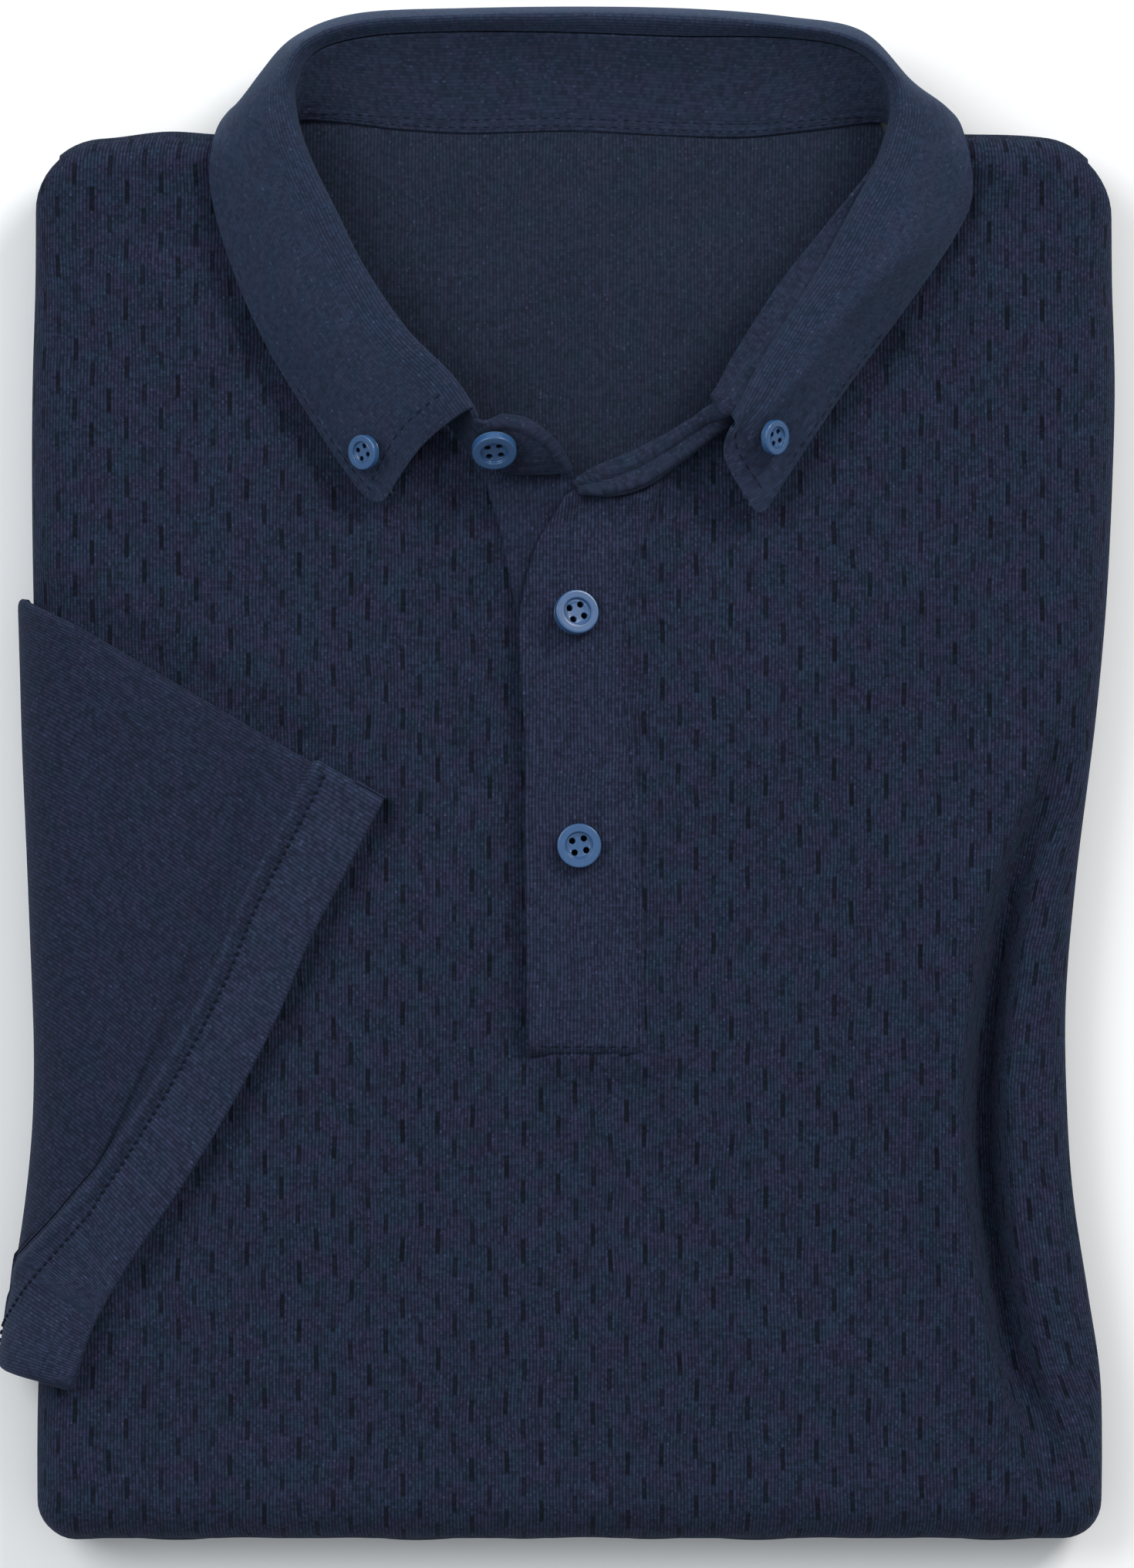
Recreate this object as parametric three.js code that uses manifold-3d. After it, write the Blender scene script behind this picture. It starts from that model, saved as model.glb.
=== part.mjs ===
// Short-sleeved polo shirt with a button-down collar, folded into a flat bundle that lies on its back.
// Millimetres, +Z up, +Y towards the collar. The origin is under the middle of the bundle, on the table.
import * as THREE from 'three';
import { mergeVertices } from 'three/addons/utils/BufferGeometryUtils.js';
import Module from 'manifold-3d';

const wasm = await Module();
wasm.setup();

// Driving sizes of the folded bundle
const CLOTH = 1.4; // wall of one panel
const SEAM_GAP = 0.3;
const BUNDLE_TOP = 24; // height of the front panel above the table
const SIDE_ROLL = 12; // how far in from the outline the rolled edge starts
const SIDE_EDGE = 13; // height at which the rolled side edge stands out furthest
const SHOULDER_EDGE = 16;
const BOTTOM_Y = -198.4;
const BOTTOM_CORNER = 10;
const SHOULDER_CORNER = 17;
const FRONT_SETBACK = 1.4; // the front ends this far behind the back at the shoulders
const NECK_LEFT_X = -70; // where the neckline meets the shoulders
const NECK_RIGHT_X = 88;

// Driving sizes of collar, placket, sleeve and buttons
const LEAF_WALL = 1.5;
const STAND_WALL = 1.4;
const PLACKET_WALL = 1.5;
const UNDER_PLACKET_WALL = 1.0;
const SLEEVE_WALL = 1.2;
const HEM_BAND = 21; // width of the turned hem
const HEM_EXTRA = 0.5; // how far the turned hem stands above the sleeve
const PLACKET_BUTTON = 11.4;
const COLLAR_BUTTON = 9;

// Side edges of the bundle seen from above, from the bottom fold to the shoulder
const SIDES = [
  { y: -198, left: -134.9, right: 140.6 },
  { y: -173, left: -135.0, right: 140.9 },
  { y: -155, left: -134.6, right: 140.3 },
  { y: -135, left: -133.4, right: 137.3 },
  { y: -110, left: -132.0, right: 133.5 },
  { y: -88, left: -131.4, right: 131.9 },
  { y: -60, left: -132.0, right: 131.5 },
  { y: -28, left: -133.2, right: 134.1 },
  { y: 14, left: -135.0, right: 139.3 },
  { y: 45, left: -136.0, right: 142.1 },
  { y: 78, left: -136.4, right: 143.7 },
  { y: 102, left: -136.2, right: 144.2 },
  { y: 130, left: -135.4, right: 143.4 },
  { y: 166, left: -135.0, right: 142.9 },
];

// Shoulder line, from the wearer's right to the left
const SHOULDER = [
  { x: -136, y: 163.2 },
  { x: -116, y: 164.2 },
  { x: -101, y: 165.9 },
  { x: -86, y: 165.1 },
  { x: -30, y: 166.0 },
  { x: 40, y: 166.0 },
  { x: 104, y: 165.2 },
  { x: 123, y: 164.6 },
  { x: 144, y: 161.5 },
];

// The long fold beside the wearer's left edge: its ridge, the trough beside it, and how deep they are
const SIDE_FOLD = [
  { y: -198, ridge: 118, trough: 126, depth: 0.0, lift: 0.0 },
  { y: -172, ridge: 116, trough: 123, depth: 2.6, lift: 0.4 },
  { y: -150, ridge: 109, trough: 117, depth: 7.0, lift: 1.0 },
  { y: -118, ridge: 104, trough: 111, depth: 10.0, lift: 1.5 },
  { y: -88, ridge: 102, trough: 109, depth: 11.0, lift: 1.7 },
  { y: -60, ridge: 104, trough: 111, depth: 10.0, lift: 1.6 },
  { y: -30, ridge: 109, trough: 118, depth: 7.0, lift: 1.2 },
  { y: 0, ridge: 119, trough: 127, depth: 3.0, lift: 0.6 },
  { y: 22, ridge: 124, trough: 132, depth: 0.0, lift: 0.0 },
  { y: 166, ridge: 124, trough: 132, depth: 0.0, lift: 0.0 },
];
const TROUGH_INNER_HALF = 7.5;
const TROUGH_OUTER_HALF = 17;
const RIDGE_HALF = 16;
const BROAD_EXTRA = 6; // how much wider the hidden layers carry the trough
const TROUGH_BANK = 0.26; // share of the depth by which the outer bank lies lower

// Smaller folds of the front: the line they follow, half width, and height, below zero for a hollow
const SMALL_FOLDS = [
  { name: 'drag from the wearer right shoulder', x0: -101, y0: 139, x1: -80, y1: 119, half: 5, high: -1.3 },
  { name: 'swell beside that drag', x0: -110, y0: 131, x1: -88, y1: 108, half: 6, high: 0.8 },
  { name: 'hollow right of the placket top', x0: 38, y0: 60, x1: 50, y1: 40, half: 8, high: -1.0 },
  { name: 'hollow left of the placket top', x0: -27, y0: 60, x1: -23, y1: 30, half: 7, high: -1.0 },
  { name: 'slack beside the sleeve', x0: -34, y0: -20, x1: -70, y1: -90, half: 12, high: -0.7 },
];

// Collar, a row for each section from the wearer's right front end round the back to the left.
// groove is the seam of stand and leaf, crest the top of the roll, middle and edge lie on the leaf,
// neck is the seam of stand and shirt, and sag is how far the stand bows down between its seams.
const COLLAR = [
  { groove: [-20.2, 91.2, 36.0], crest: [-22.8, 92.8, 39.4], middle: [-35.1, 83.4, 34.2],
    edge: [-45.9, 68.1, 28.6], neck: [-22.1, 82.1, 26.6], sag: 0.0 },
  { groove: [-26.4, 100.4, 36.0], crest: [-29.2, 101.4, 40.4], middle: [-43.2, 89.6, 36.0],
    edge: [-51.9, 73.3, 28.6], neck: [-31.3, 94.6, 26.6], sag: 0.0 },
  { groove: [-37.8, 112.5, 36.5], crest: [-40.9, 113.0, 41.2], middle: [-54.6, 102.4, 37.0],
    edge: [-63.8, 90.5, 28.4], neck: [-42.8, 107.9, 26.6], sag: 0.0 },
  { groove: [-48.9, 128.3, 36.5], crest: [-51.5, 128.9, 41.6], middle: [-65.4, 119.7, 37.0],
    edge: [-75.1, 109.0, 28.0], neck: [-53.9, 125.0, 26.6], sag: 0.0 },
  { groove: [-56.8, 144.1, 36.5], crest: [-59.8, 144.9, 41.4], middle: [-73.4, 139.6, 35.6],
    edge: [-83.6, 128.3, 26.8], neck: [-61.9, 141.3, 26.4], sag: 0.0 },
  { groove: [-62.0, 154.6, 35.8], crest: [-65.0, 155.6, 40.6], middle: [-78.3, 152.6, 34.0],
    edge: [-89.4, 148.0, 26.6], neck: [-66.7, 152.4, 26.2], sag: 0.0 },
  { groove: [-65.2, 162.6, 34.8], crest: [-68.4, 164.0, 39.4], middle: [-81.2, 163.2, 31.8],
    edge: [-89.6, 161.6, 25.4], neck: [-69.0, 160.2, 25.4], sag: 0.1 },
  { groove: [-67.0, 169.8, 33.8], crest: [-70.3, 172.2, 38.0], middle: [-81.6, 171.6, 27.6],
    edge: [-86.0, 171.4, 12.0], neck: [-69.2, 165.8, 24.2], sag: 0.3 },
  { groove: [-67.2, 176.8, 32.5], crest: [-70.2, 179.7, 36.2], middle: [-76.6, 181.4, 21.0],
    edge: [-74.7, 180.0, 2.6], neck: [-65.9, 167.8, 22.8], sag: 0.6 },
  { groove: [-62.1, 185.2, 31.5], crest: [-64.5, 188.1, 34.6], middle: [-67.8, 190.2, 19.0],
    edge: [-65.0, 187.2, 2.0], neck: [-55.4, 167.2, 22.4], sag: 1.0 },
  { groove: [-48.2, 189.3, 30.5], crest: [-50.1, 193.0, 33.2], middle: [-52.1, 195.8, 18.0],
    edge: [-50.1, 190.9, 1.6], neck: [-40.5, 165.4, 22.3], sag: 1.3 },
  { groove: [-24.5, 190.5, 30.0], crest: [-24.8, 194.5, 32.6], middle: [-25.4, 197.5, 17.0],
    edge: [-24.8, 191.9, 1.4], neck: [-22.8, 164.4, 22.2], sag: 1.5 },
  { groove: [2.3, 190.3, 30.0], crest: [2.3, 195.0, 32.6], middle: [2.3, 198.0, 17.0],
    edge: [2.3, 192.3, 1.4], neck: [2.3, 165.0, 22.2], sag: 1.5 },
  { groove: [31.0, 189.3, 30.0], crest: [31.4, 194.3, 32.6], middle: [32.0, 197.2, 17.0],
    edge: [31.5, 191.4, 1.4], neck: [27.2, 163.9, 22.2], sag: 1.5 },
  { groove: [56.8, 188.9, 30.5], crest: [57.7, 192.2, 33.2], middle: [58.7, 195.1, 18.0],
    edge: [58.0, 189.9, 1.6], neck: [47.1, 163.4, 22.3], sag: 1.3 },
  { groove: [74.6, 186.0, 31.5], crest: [76.1, 188.5, 34.6], middle: [78.4, 191.6, 20.0],
    edge: [75.7, 186.6, 2.0], neck: [67.0, 165.4, 22.4], sag: 1.0 },
  { groove: [83.6, 178.4, 33.0], crest: [86.3, 179.7, 36.6], middle: [91.0, 178.6, 23.0],
    edge: [90.1, 176.7, 3.0], neck: [80.9, 167.2, 22.8], sag: 0.6 },
  { groove: [85.0, 170.0, 34.2], crest: [88.6, 171.0, 38.4], middle: [98.6, 170.8, 28.6],
    edge: [102.2, 171.4, 12.0], neck: [86.6, 165.8, 24.2], sag: 0.3 },
  { groove: [83.4, 162.8, 35.0], crest: [86.8, 162.6, 39.4], middle: [97.6, 161.0, 33.4],
    edge: [105.8, 161.4, 25.4], neck: [86.8, 160.2, 25.8], sag: 0.1 },
  { groove: [80.6, 155.2, 35.6], crest: [83.6, 154.2, 39.8], middle: [95.2, 150.6, 35.4],
    edge: [106.8, 148.6, 26.4], neck: [85.8, 152.8, 26.2], sag: 0.0 },
  { groove: [74.4, 143.5, 36.0], crest: [77.4, 142.4, 39.8], middle: [92.2, 135.8, 37.0],
    edge: [102.3, 137.9, 26.6], neck: [80.4, 142.1, 26.4], sag: 0.0 },
  { groove: [67.7, 131.1, 36.0], crest: [70.0, 129.3, 39.2], middle: [82.9, 125.4, 38.0],
    edge: [92.6, 123.0, 28.0], neck: [73.6, 129.3, 26.6], sag: 0.0 },
  { groove: [59.0, 118.0, 36.0], crest: [61.1, 116.1, 38.4], middle: [71.4, 112.4, 37.4],
    edge: [80.7, 107.0, 28.4], neck: [65.2, 116.6, 26.6], sag: -0.4 },
  { groove: [50.3, 104.2, 35.5], crest: [52.3, 102.5, 37.6], middle: [61.6, 99.0, 36.8],
    edge: [69.9, 92.3, 28.6], neck: [55.5, 102.8, 26.6], sag: -0.6 },
  { groove: [43.4, 92.6, 34.6], crest: [45.2, 88.2, 37.4], middle: [43.0, 79.9, 32.4],
    edge: [52.1, 65.0, 28.6], neck: [47.0, 91.2, 26.8], sag: -1.2 },
];

// Ends of the stand beyond the leaf: the button tab on the wearer's right, from its tip inwards
const TAB_END = [
  { top: [2.9, 79.2, 29.6], neck: [2.9, 77.6, 27.4], sag: 0.0 },
  { top: [0.7, 84.1, 34.0], neck: [-2.3, 77.3, 27.0], sag: -0.4 },
  { top: [-2.8, 87.9, 37.8], neck: [-6.6, 77.1, 26.8], sag: -0.8 },
  { top: [-7.8, 91.0, 40.0], neck: [-11.0, 77.3, 26.8], sag: -0.8 },
  { top: [-13.5, 91.9, 40.2], neck: [-16.6, 79.1, 26.8], sag: -0.6 },
];
// and the buttonhole end on the wearer's left, which twists on edge down to the placket
const LOOSE_END = [
  { top: [35.9, 92.0, 35.0], neck: [38.6, 85.2, 26.9], sag: -1.8 },
  { top: [27.4, 86.3, 34.2], neck: [30.7, 79.3, 26.9], sag: -2.2 },
  { top: [18.1, 81.8, 32.8], neck: [23.1, 74.2, 26.9], sag: -2.2 },
  { top: [10.2, 78.7, 31.2], neck: [14.6, 71.6, 27.2], sag: -1.6 },
  { top: [3.5, 74.8, 29.4], neck: [5.3, 72.5, 27.4], sag: -0.6 },
];

// Placket, a row for each height: left edge of the under strip, then both edges of the upper one
const PLACKET = [
  { y: 71.0, under: -17.8, left: 1.6, right: 25.6 },
  { y: 65.5, under: -16.0, left: -1.2, right: 24.0 },
  { y: 60.2, under: -14.6, left: -5.2, right: 22.6 },
  { y: 51.5, under: -13.0, left: -7.6, right: 20.6 },
  { y: 45.3, under: -11.6, left: -9.6, right: 19.6 },
  { y: 35.0, under: -9.6, left: -10.6, right: 18.6 },
  { y: 16.5, under: -6.6, left: -8.8, right: 18.9 },
  { y: 0.3, under: -6.0, left: -8.5, right: 21.4 },
  { y: -15.6, under: -6.0, left: -8.8, right: 21.5 },
  { y: -47.8, under: -6.0, left: -8.4, right: 22.6 },
  { y: -73.2, under: -6.0, left: -7.8, right: 22.8 },
];

// Sleeve, a row for each line from the hem to the body's edge and on down its side: where it ends at
// the hem, the height in the picture plane where it meets the edge, the hem's width along it, and how
// full the sleeve is where it turns the edge
const SLEEVE = [
  { hemX: -45.9, hemY: -7.7, y: 45.0, band: 21, full: 2.8 },
  { hemX: -55.3, hemY: -25.7, y: 28.5, band: 21, full: 2.8 },
  { hemX: -64.6, hemY: -43.4, y: 5.0, band: 21, full: 3.0 },
  { hemX: -72.9, hemY: -63.0, y: -17.6, band: 21, full: 3.0 },
  { hemX: -84.1, hemY: -84.7, y: -45.4, band: 21, full: 3.0 },
  { hemX: -97.2, hemY: -106.1, y: -73.2, band: 21, full: 3.0 },
  { hemX: -111.1, hemY: -126.6, y: -102.0, band: 21, full: 4.2 },
  { hemX: -120.4, hemY: -143.3, y: -130.0, band: 20, full: 6.6 },
  { hemX: -124.9, hemY: -158.6, y: -155.0, band: 16, full: 9.6 },
];
const SLEEVE_FULL = 3.9; // two layers of sleeve with a little air between them
const SLEEVE_LIFT = 0.5;
const SLEEVE_TURN_LIFT = 1.3; // looser where it turns the bundle's edge

// Buttons: where the middle of each lies in plan, how far its back stands off the cloth there, how
// its face leans and how its holes are turned, in degrees
const BUTTONS = [
  { name: 'button_placket_1', size: PLACKET_BUTTON, on: 'placket',
    x: 4.6, y: 41.2, off: 1.3, leanX: 8, leanY: 2, turn: 20 },
  { name: 'button_placket_2', size: PLACKET_BUTTON, on: 'placket',
    x: 5.4, y: -18.8, off: 0.5, leanX: 0, leanY: 0, turn: 12 },
  { name: 'button_neck', size: PLACKET_BUTTON, on: 'tab',
    x: -16.4, y: 83.2, off: 0.4, leanX: 2, leanY: -46, turn: 8 },
  { name: 'button_collar_left', size: COLLAR_BUTTON, on: 'leaf',
    x: 55.0, y: 85.9, off: 2.7, leanX: 46, leanY: -8, turn: 15 },
  { name: 'button_collar_right', size: COLLAR_BUTTON, on: 'leaf',
    x: -49.4, y: 82.2, off: 1.7, leanX: -38, leanY: -8, turn: 30 },
];
const TAB_BUTTON_HEIGHT = 35.0;

const COLOURS = {
  body: new THREE.Color(0x262c3e),
  leaf: new THREE.Color(0x2c3c54),
  stand: new THREE.Color(0x262f42),
  sleeve: new THREE.Color(0x222a3c),
  button: new THREE.Color(0x466996),
};

// A value read from a table at a place along one of its columns, on a smooth curve through the rows
function read(table, along, at, column) {
  const rising = table[table.length - 1][along] > table[0][along];
  let i = 0;
  while (i < table.length - 2 && (rising ? at > table[i + 1][along] : at < table[i + 1][along])) i += 1;
  const slope = (k) => {
    const a = table[Math.max(k - 1, 0)];
    const b = table[Math.min(k + 1, table.length - 1)];
    return (b[column] - a[column]) / (b[along] - a[along]);
  };
  const a = table[i];
  const b = table[i + 1];
  const run = b[along] - a[along];
  const t = THREE.MathUtils.clamp((at - a[along]) / run, 0, 1);
  const smooth = t * t * (3 - 2 * t);
  const early = t * (1 - t) * (1 - t) * run * slope(i);
  const late = t * t * (1 - t) * run * slope(i + 1);
  return a[column] + (b[column] - a[column]) * smooth + early - late;
}

// A point on the smooth curve through a list of points, at a place given in steps of the list
function pointAlong(points, at) {
  const i = Math.min(Math.floor(at), points.length - 2);
  const t = at - i;
  const p = [i - 1, i, i + 1, i + 2].map((k) => points[THREE.MathUtils.clamp(k, 0, points.length - 1)]);
  return [0, 1, 2].map((axis) => {
    const [a, b, c, d] = p.map((point) => point[axis]);
    const bend = (2 * a - 5 * b + 4 * c - d) * t * t + (3 * b - a - 3 * c + d) * t * t * t;
    return 0.5 * (2 * b + (c - a) * t + bend);
  });
}

const mix = THREE.MathUtils.lerp;
const step = THREE.MathUtils.smoothstep;
// A smooth rise to 1 at a line's middle, from 0 at its half width
function bump(distance, half) {
  return Math.abs(distance) < half ? (1 + Math.cos((Math.PI * distance) / half)) / 2 : 0;
}

const leftEdge = (y) => read(SIDES, 'y', y, 'left');
const rightEdge = (y) => read(SIDES, 'y', y, 'right');
const shoulderLine = (x) => read(SHOULDER, 'x', x, 'y');

// How far a rounded corner pulls an end edge in, at a distance from the side
function cornerPull(side, radius) {
  return side < radius ? radius - Math.sqrt(Math.max(radius * radius - (radius - side) ** 2, 0)) : 0;
}

// Distance in from the bundle's outline; at the neck the shoulder edge is flat and does not count
function outlineDistance(x, y) {
  const side = Math.min(x - leftEdge(y), rightEdge(y) - x);
  const pastLeft = step(x, NECK_LEFT_X - 12, NECK_LEFT_X + 4);
  const flatNeck = pastLeft * (1 - step(x, NECK_RIGHT_X - 4, NECK_RIGHT_X + 12));
  const radius = y < 0 ? BOTTOM_CORNER : SHOULDER_CORNER;
  const end = Math.min(y - BOTTOM_Y, shoulderLine(x) - y + flatNeck * SIDE_ROLL);
  if (side < radius && end < radius) return radius - Math.hypot(radius - side, radius - end);
  return Math.min(side, end);
}

// Height of the bundle's crown before its edges roll off; broad folds lie further down and wider
function crown(x, y, broad) {
  const ridge = read(SIDE_FOLD, 'y', y, 'ridge');
  const trough = read(SIDE_FOLD, 'y', y, 'trough');
  const depth = read(SIDE_FOLD, 'y', y, 'depth');
  const lift = read(SIDE_FOLD, 'y', y, 'lift');
  const half = (x < trough ? TROUGH_INNER_HALF : TROUGH_OUTER_HALF) + broad * BROAD_EXTRA;
  const floor = x > trough ? TROUGH_BANK : 0;
  const hollow = depth * Math.max(bump(x - trough, half), floor);
  let high = BUNDLE_TOP - hollow - broad * depth * 0.1 + (1 - broad) * lift * bump(x - ridge + 3, RIDGE_HALF);
  if (broad > 0) return high;
  for (const fold of SMALL_FOLDS) {
    const dx = fold.x1 - fold.x0;
    const dy = fold.y1 - fold.y0;
    const t = THREE.MathUtils.clamp(((x - fold.x0) * dx + (y - fold.y0) * dy) / (dx * dx + dy * dy), 0, 1);
    const away = Math.hypot(x - fold.x0 - dx * t, y - fold.y0 - dy * t);
    high += fold.high * bump(away, fold.half * 2);
  }
  return high;
}

// Height of one layer of the bundle, set in from the outline and down from the crown
function layerHeight(x, y, inset, drop, broad) {
  const along = THREE.MathUtils.clamp((outlineDistance(x, y) - inset) / (SIDE_ROLL - inset), 0, 1);
  const roll = Math.sqrt(1 - (1 - along) ** 2);
  const edge = mix(SIDE_EDGE, SHOULDER_EDGE, step(y, 120, 150));
  return edge + (crown(x, y, broad) - drop - edge) * roll;
}

// The necklines of front and back, as the stand's lower seam draws them in plan
const inPlan = (rows) => rows.map((row) => ({ x: row.neck[0], y: row.neck[1] }));
const NECKLINE = [
  ...inPlan(COLLAR.slice(0, 8)).reverse(),
  ...inPlan(TAB_END).reverse(),
  ...inPlan(LOOSE_END).reverse(),
  ...inPlan(COLLAR.slice(18)).reverse(),
];
const BACK_NECK = inPlan(COLLAR.slice(7, 18));
const frontNeck = (x) => read(NECKLINE, 'x', x, 'y') + 1.5;

const NECK_RISE = 1.6; // the front rises towards its neckline
function frontHeight(x, y) {
  const nearNeck = x > NECK_LEFT_X && x < NECK_RIGHT_X ? frontNeck(x) - y : Math.abs(y - 160) + 4;
  const lift = NECK_RISE * (1 - step(nearNeck, 0, 22)) * step(y, 60, 84);
  return layerHeight(x, y, 0, 0, 0) + lift;
}

// Columns across the bundle: rolled edges at set distances, the rest spread evenly
const ROLL_STEPS = [0, 0.7, 2.6, 6.2];
function columns(count, rollSteps) {
  const list = rollSteps.map((from) => (y) => leftEdge(y) + from);
  for (let i = 0; i <= count; i += 1) {
    list.push((y) => mix(leftEdge(y) + SIDE_ROLL, rightEdge(y) - SIDE_ROLL, i / count));
  }
  return list.concat(rollSteps.map((from) => (y) => rightEdge(y) - from).reverse());
}

// One column of a panel from the bottom fold up to its top edge, as places in y
function rowsOf(column, count, topEdge, rollSteps) {
  const side = (y) => Math.min(column(y) - leftEdge(y), rightEdge(y) - column(y));
  const bottom = BOTTOM_Y + cornerPull(side(BOTTOM_Y + 5), BOTTOM_CORNER);
  let top = 100;
  for (let i = 0; i < 24; i += 1) top = mix(top, topEdge(column(top), side(top)), 0.6);
  const end = rollSteps[rollSteps.length - 1] * 1.8;
  const list = rollSteps.map((from) => bottom + from);
  for (let i = 0; i <= count; i += 1) list.push(mix(bottom + end, top - end, i / count));
  return list.concat(rollSteps.map((from) => top - from).reverse());
}

// An open sheet: points, and faces as lists of point numbers turning left seen from outside
class Sheet {
  constructor() {
    this.points = [];
    this.faces = [];
  }

  add(point) {
    this.points.push(point);
    return this.points.length - 1;
  }

  quad(a, b, c, d) {
    this.faces.push([a, b, c], [a, c, d]);
  }

  // Rows of points of equal length, joined to each other
  grid(rows) {
    const index = rows.map((row) => row.map((point) => this.add(point)));
    for (let i = 0; i + 1 < index.length; i += 1) {
      for (let j = 0; j + 1 < index[i].length; j += 1) {
        this.quad(index[i][j], index[i + 1][j], index[i + 1][j + 1], index[i][j + 1]);
      }
    }
    return index;
  }

  normals() {
    const sums = this.points.map(() => new THREE.Vector3());
    for (const face of this.faces) {
      const [a, b, c] = face.map((i) => new THREE.Vector3(...this.points[i]));
      const area = b.clone().sub(a).cross(c.clone().sub(a));
      face.forEach((i) => sums[i].add(area));
    }
    return sums.map((sum) => sum.normalize());
  }

  // Gives the sheet a wall behind its outer face and closes the rim
  wall(thickness) {
    const normals = this.normals();
    const count = this.points.length;
    const inner = this.points.map((p, i) => normals[i].clone().multiplyScalar(-thickness).toArray()
      .map((value, axis) => value + p[axis]));
    const faces = this.faces.concat(this.faces.map(([a, b, c]) => [a + count, c + count, b + count]));
    const seen = new Set(this.faces.flatMap(([a, b, c]) => [`${a} ${b}`, `${b} ${c}`, `${c} ${a}`]));
    for (const [a, b, c] of this.faces) {
      for (const [from, to] of [[a, b], [b, c], [c, a]]) {
        if (!seen.has(`${to} ${from}`)) faces.push([to, from, from + count], [to, from + count, to + count]);
      }
    }
    return solid(this.points.concat(inner), faces);
  }
}

// A closed body from points and faces, turned so that its faces point out
function solid(points, faces) {
  let volume = 0;
  for (const [a, b, c] of faces) {
    const [p, q, r] = [a, b, c].map((i) => new THREE.Vector3(...points[i]));
    volume += p.dot(q.cross(r)) / 6;
  }
  const geometry = new THREE.BufferGeometry();
  geometry.setAttribute('position', new THREE.Float32BufferAttribute(points.flat(), 3));
  geometry.setIndex(faces.flatMap(([a, b, c]) => (volume < 0 ? [a, c, b] : [a, b, c])));
  geometry.computeVertexNormals();
  return geometry;
}

const shirt = new THREE.Group();

function addPiece(name, geometry, color, roughness) {
  const mesh = new THREE.Mesh(geometry, new THREE.MeshStandardMaterial({ color, roughness, metalness: 0 }));
  mesh.name = name;
  shirt.add(mesh);
  return mesh;
}

// The edge of a grid of columns: down its left one, along the bottom and up the right one
function rimOf(index) {
  const left = index[0].slice().reverse();
  const bottom = index.slice(1, -1).map((column) => column[0]);
  return [...left, ...bottom, ...index[index.length - 1]];
}

// Points of a rim moved in towards the middle and set at a height, for a level below the rolled edge
function rimLevel(sheet, rim, closed, reach, place) {
  return rim.map((at, k) => {
    const before = sheet.points[rim[closed ? (k + rim.length - 1) % rim.length : Math.max(k - 1, 0)]];
    const after = sheet.points[rim[closed ? (k + 1) % rim.length : Math.min(k + 1, rim.length - 1)]];
    const away = new THREE.Vector2(after[0] - before[0], after[1] - before[1]).normalize();
    const here = sheet.points[at];
    const bottomness = 1 - step(here[1], BOTTOM_Y + reach, BOTTOM_Y + reach + 12);
    const shoulderness = step(here[1], 151, 157);
    const { inset, z } = place(bottomness, shoulderness);
    return sheet.add([here[0] - away.y * inset, here[1] + away.x * inset, z]);
  });
}

function joinLevels(sheet, upper, lower, closed) {
  const count = closed ? upper.length : upper.length - 1;
  for (let k = 0; k < count; k += 1) {
    const next = (k + 1) % upper.length;
    sheet.quad(upper[k], lower[k], lower[next], upper[next]);
  }
}

// How the front turns under below its rolled rim, along the sides and at the bottom fold
const FRONT_SKIRT = [
  { sideInset: 0.5, sideZ: 9.4, endInset: 0.6, endZ: 6.2 },
  { sideInset: 2.2, sideZ: 7.0, endInset: 3.6, endZ: 1.7 },
];

// The front panel lies on top, rolls over both sides and the bottom fold and ends at the neckline
function frontPanel() {
  const sheet = new Sheet();
  const topEdge = (x, side) => {
    const shoulder = shoulderLine(x) - FRONT_SETBACK - cornerPull(side, SHOULDER_CORNER);
    return x > NECK_LEFT_X && x < NECK_RIGHT_X ? Math.min(shoulder, frontNeck(x)) : shoulder;
  };
  const grid = columns(23, ROLL_STEPS).map((column) => rowsOf(column, 25, topEdge, [0, 1.2, 4.2])
    .map((y) => [column(y), y, frontHeight(column(y), y)]));
  const rim = rimOf(sheet.grid(grid));
  let upper = rim;
  for (const level of FRONT_SKIRT) {
    const lower = rimLevel(sheet, rim, false, 2, (low) => {
      return { inset: mix(level.sideInset, level.endInset, low), z: mix(level.sideZ, level.endZ, low) };
    });
    joinLevels(sheet, upper, lower, false);
    upper = lower;
  }
  addPiece('front_panel', sheet.wall(CLOTH), COLOURS.body, 0.9);
}

// The back panel shows its inside within the neckline and its edge beyond the front at the shoulders
const BACK_SIDES = [-129, 137]; // it runs in under the front this far out
const BACK_LOW_Y = 138; // and this far down beside the neck
const BACK_OVERLAP = 15; // within the neck it runs on under the front
const BACK_COLUMNS = 22;
const BACK_ROWS = [0, 0.12, 0.26, 0.4, 0.54, 0.68, 0.8, 0.9, 0.965, 1];

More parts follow.
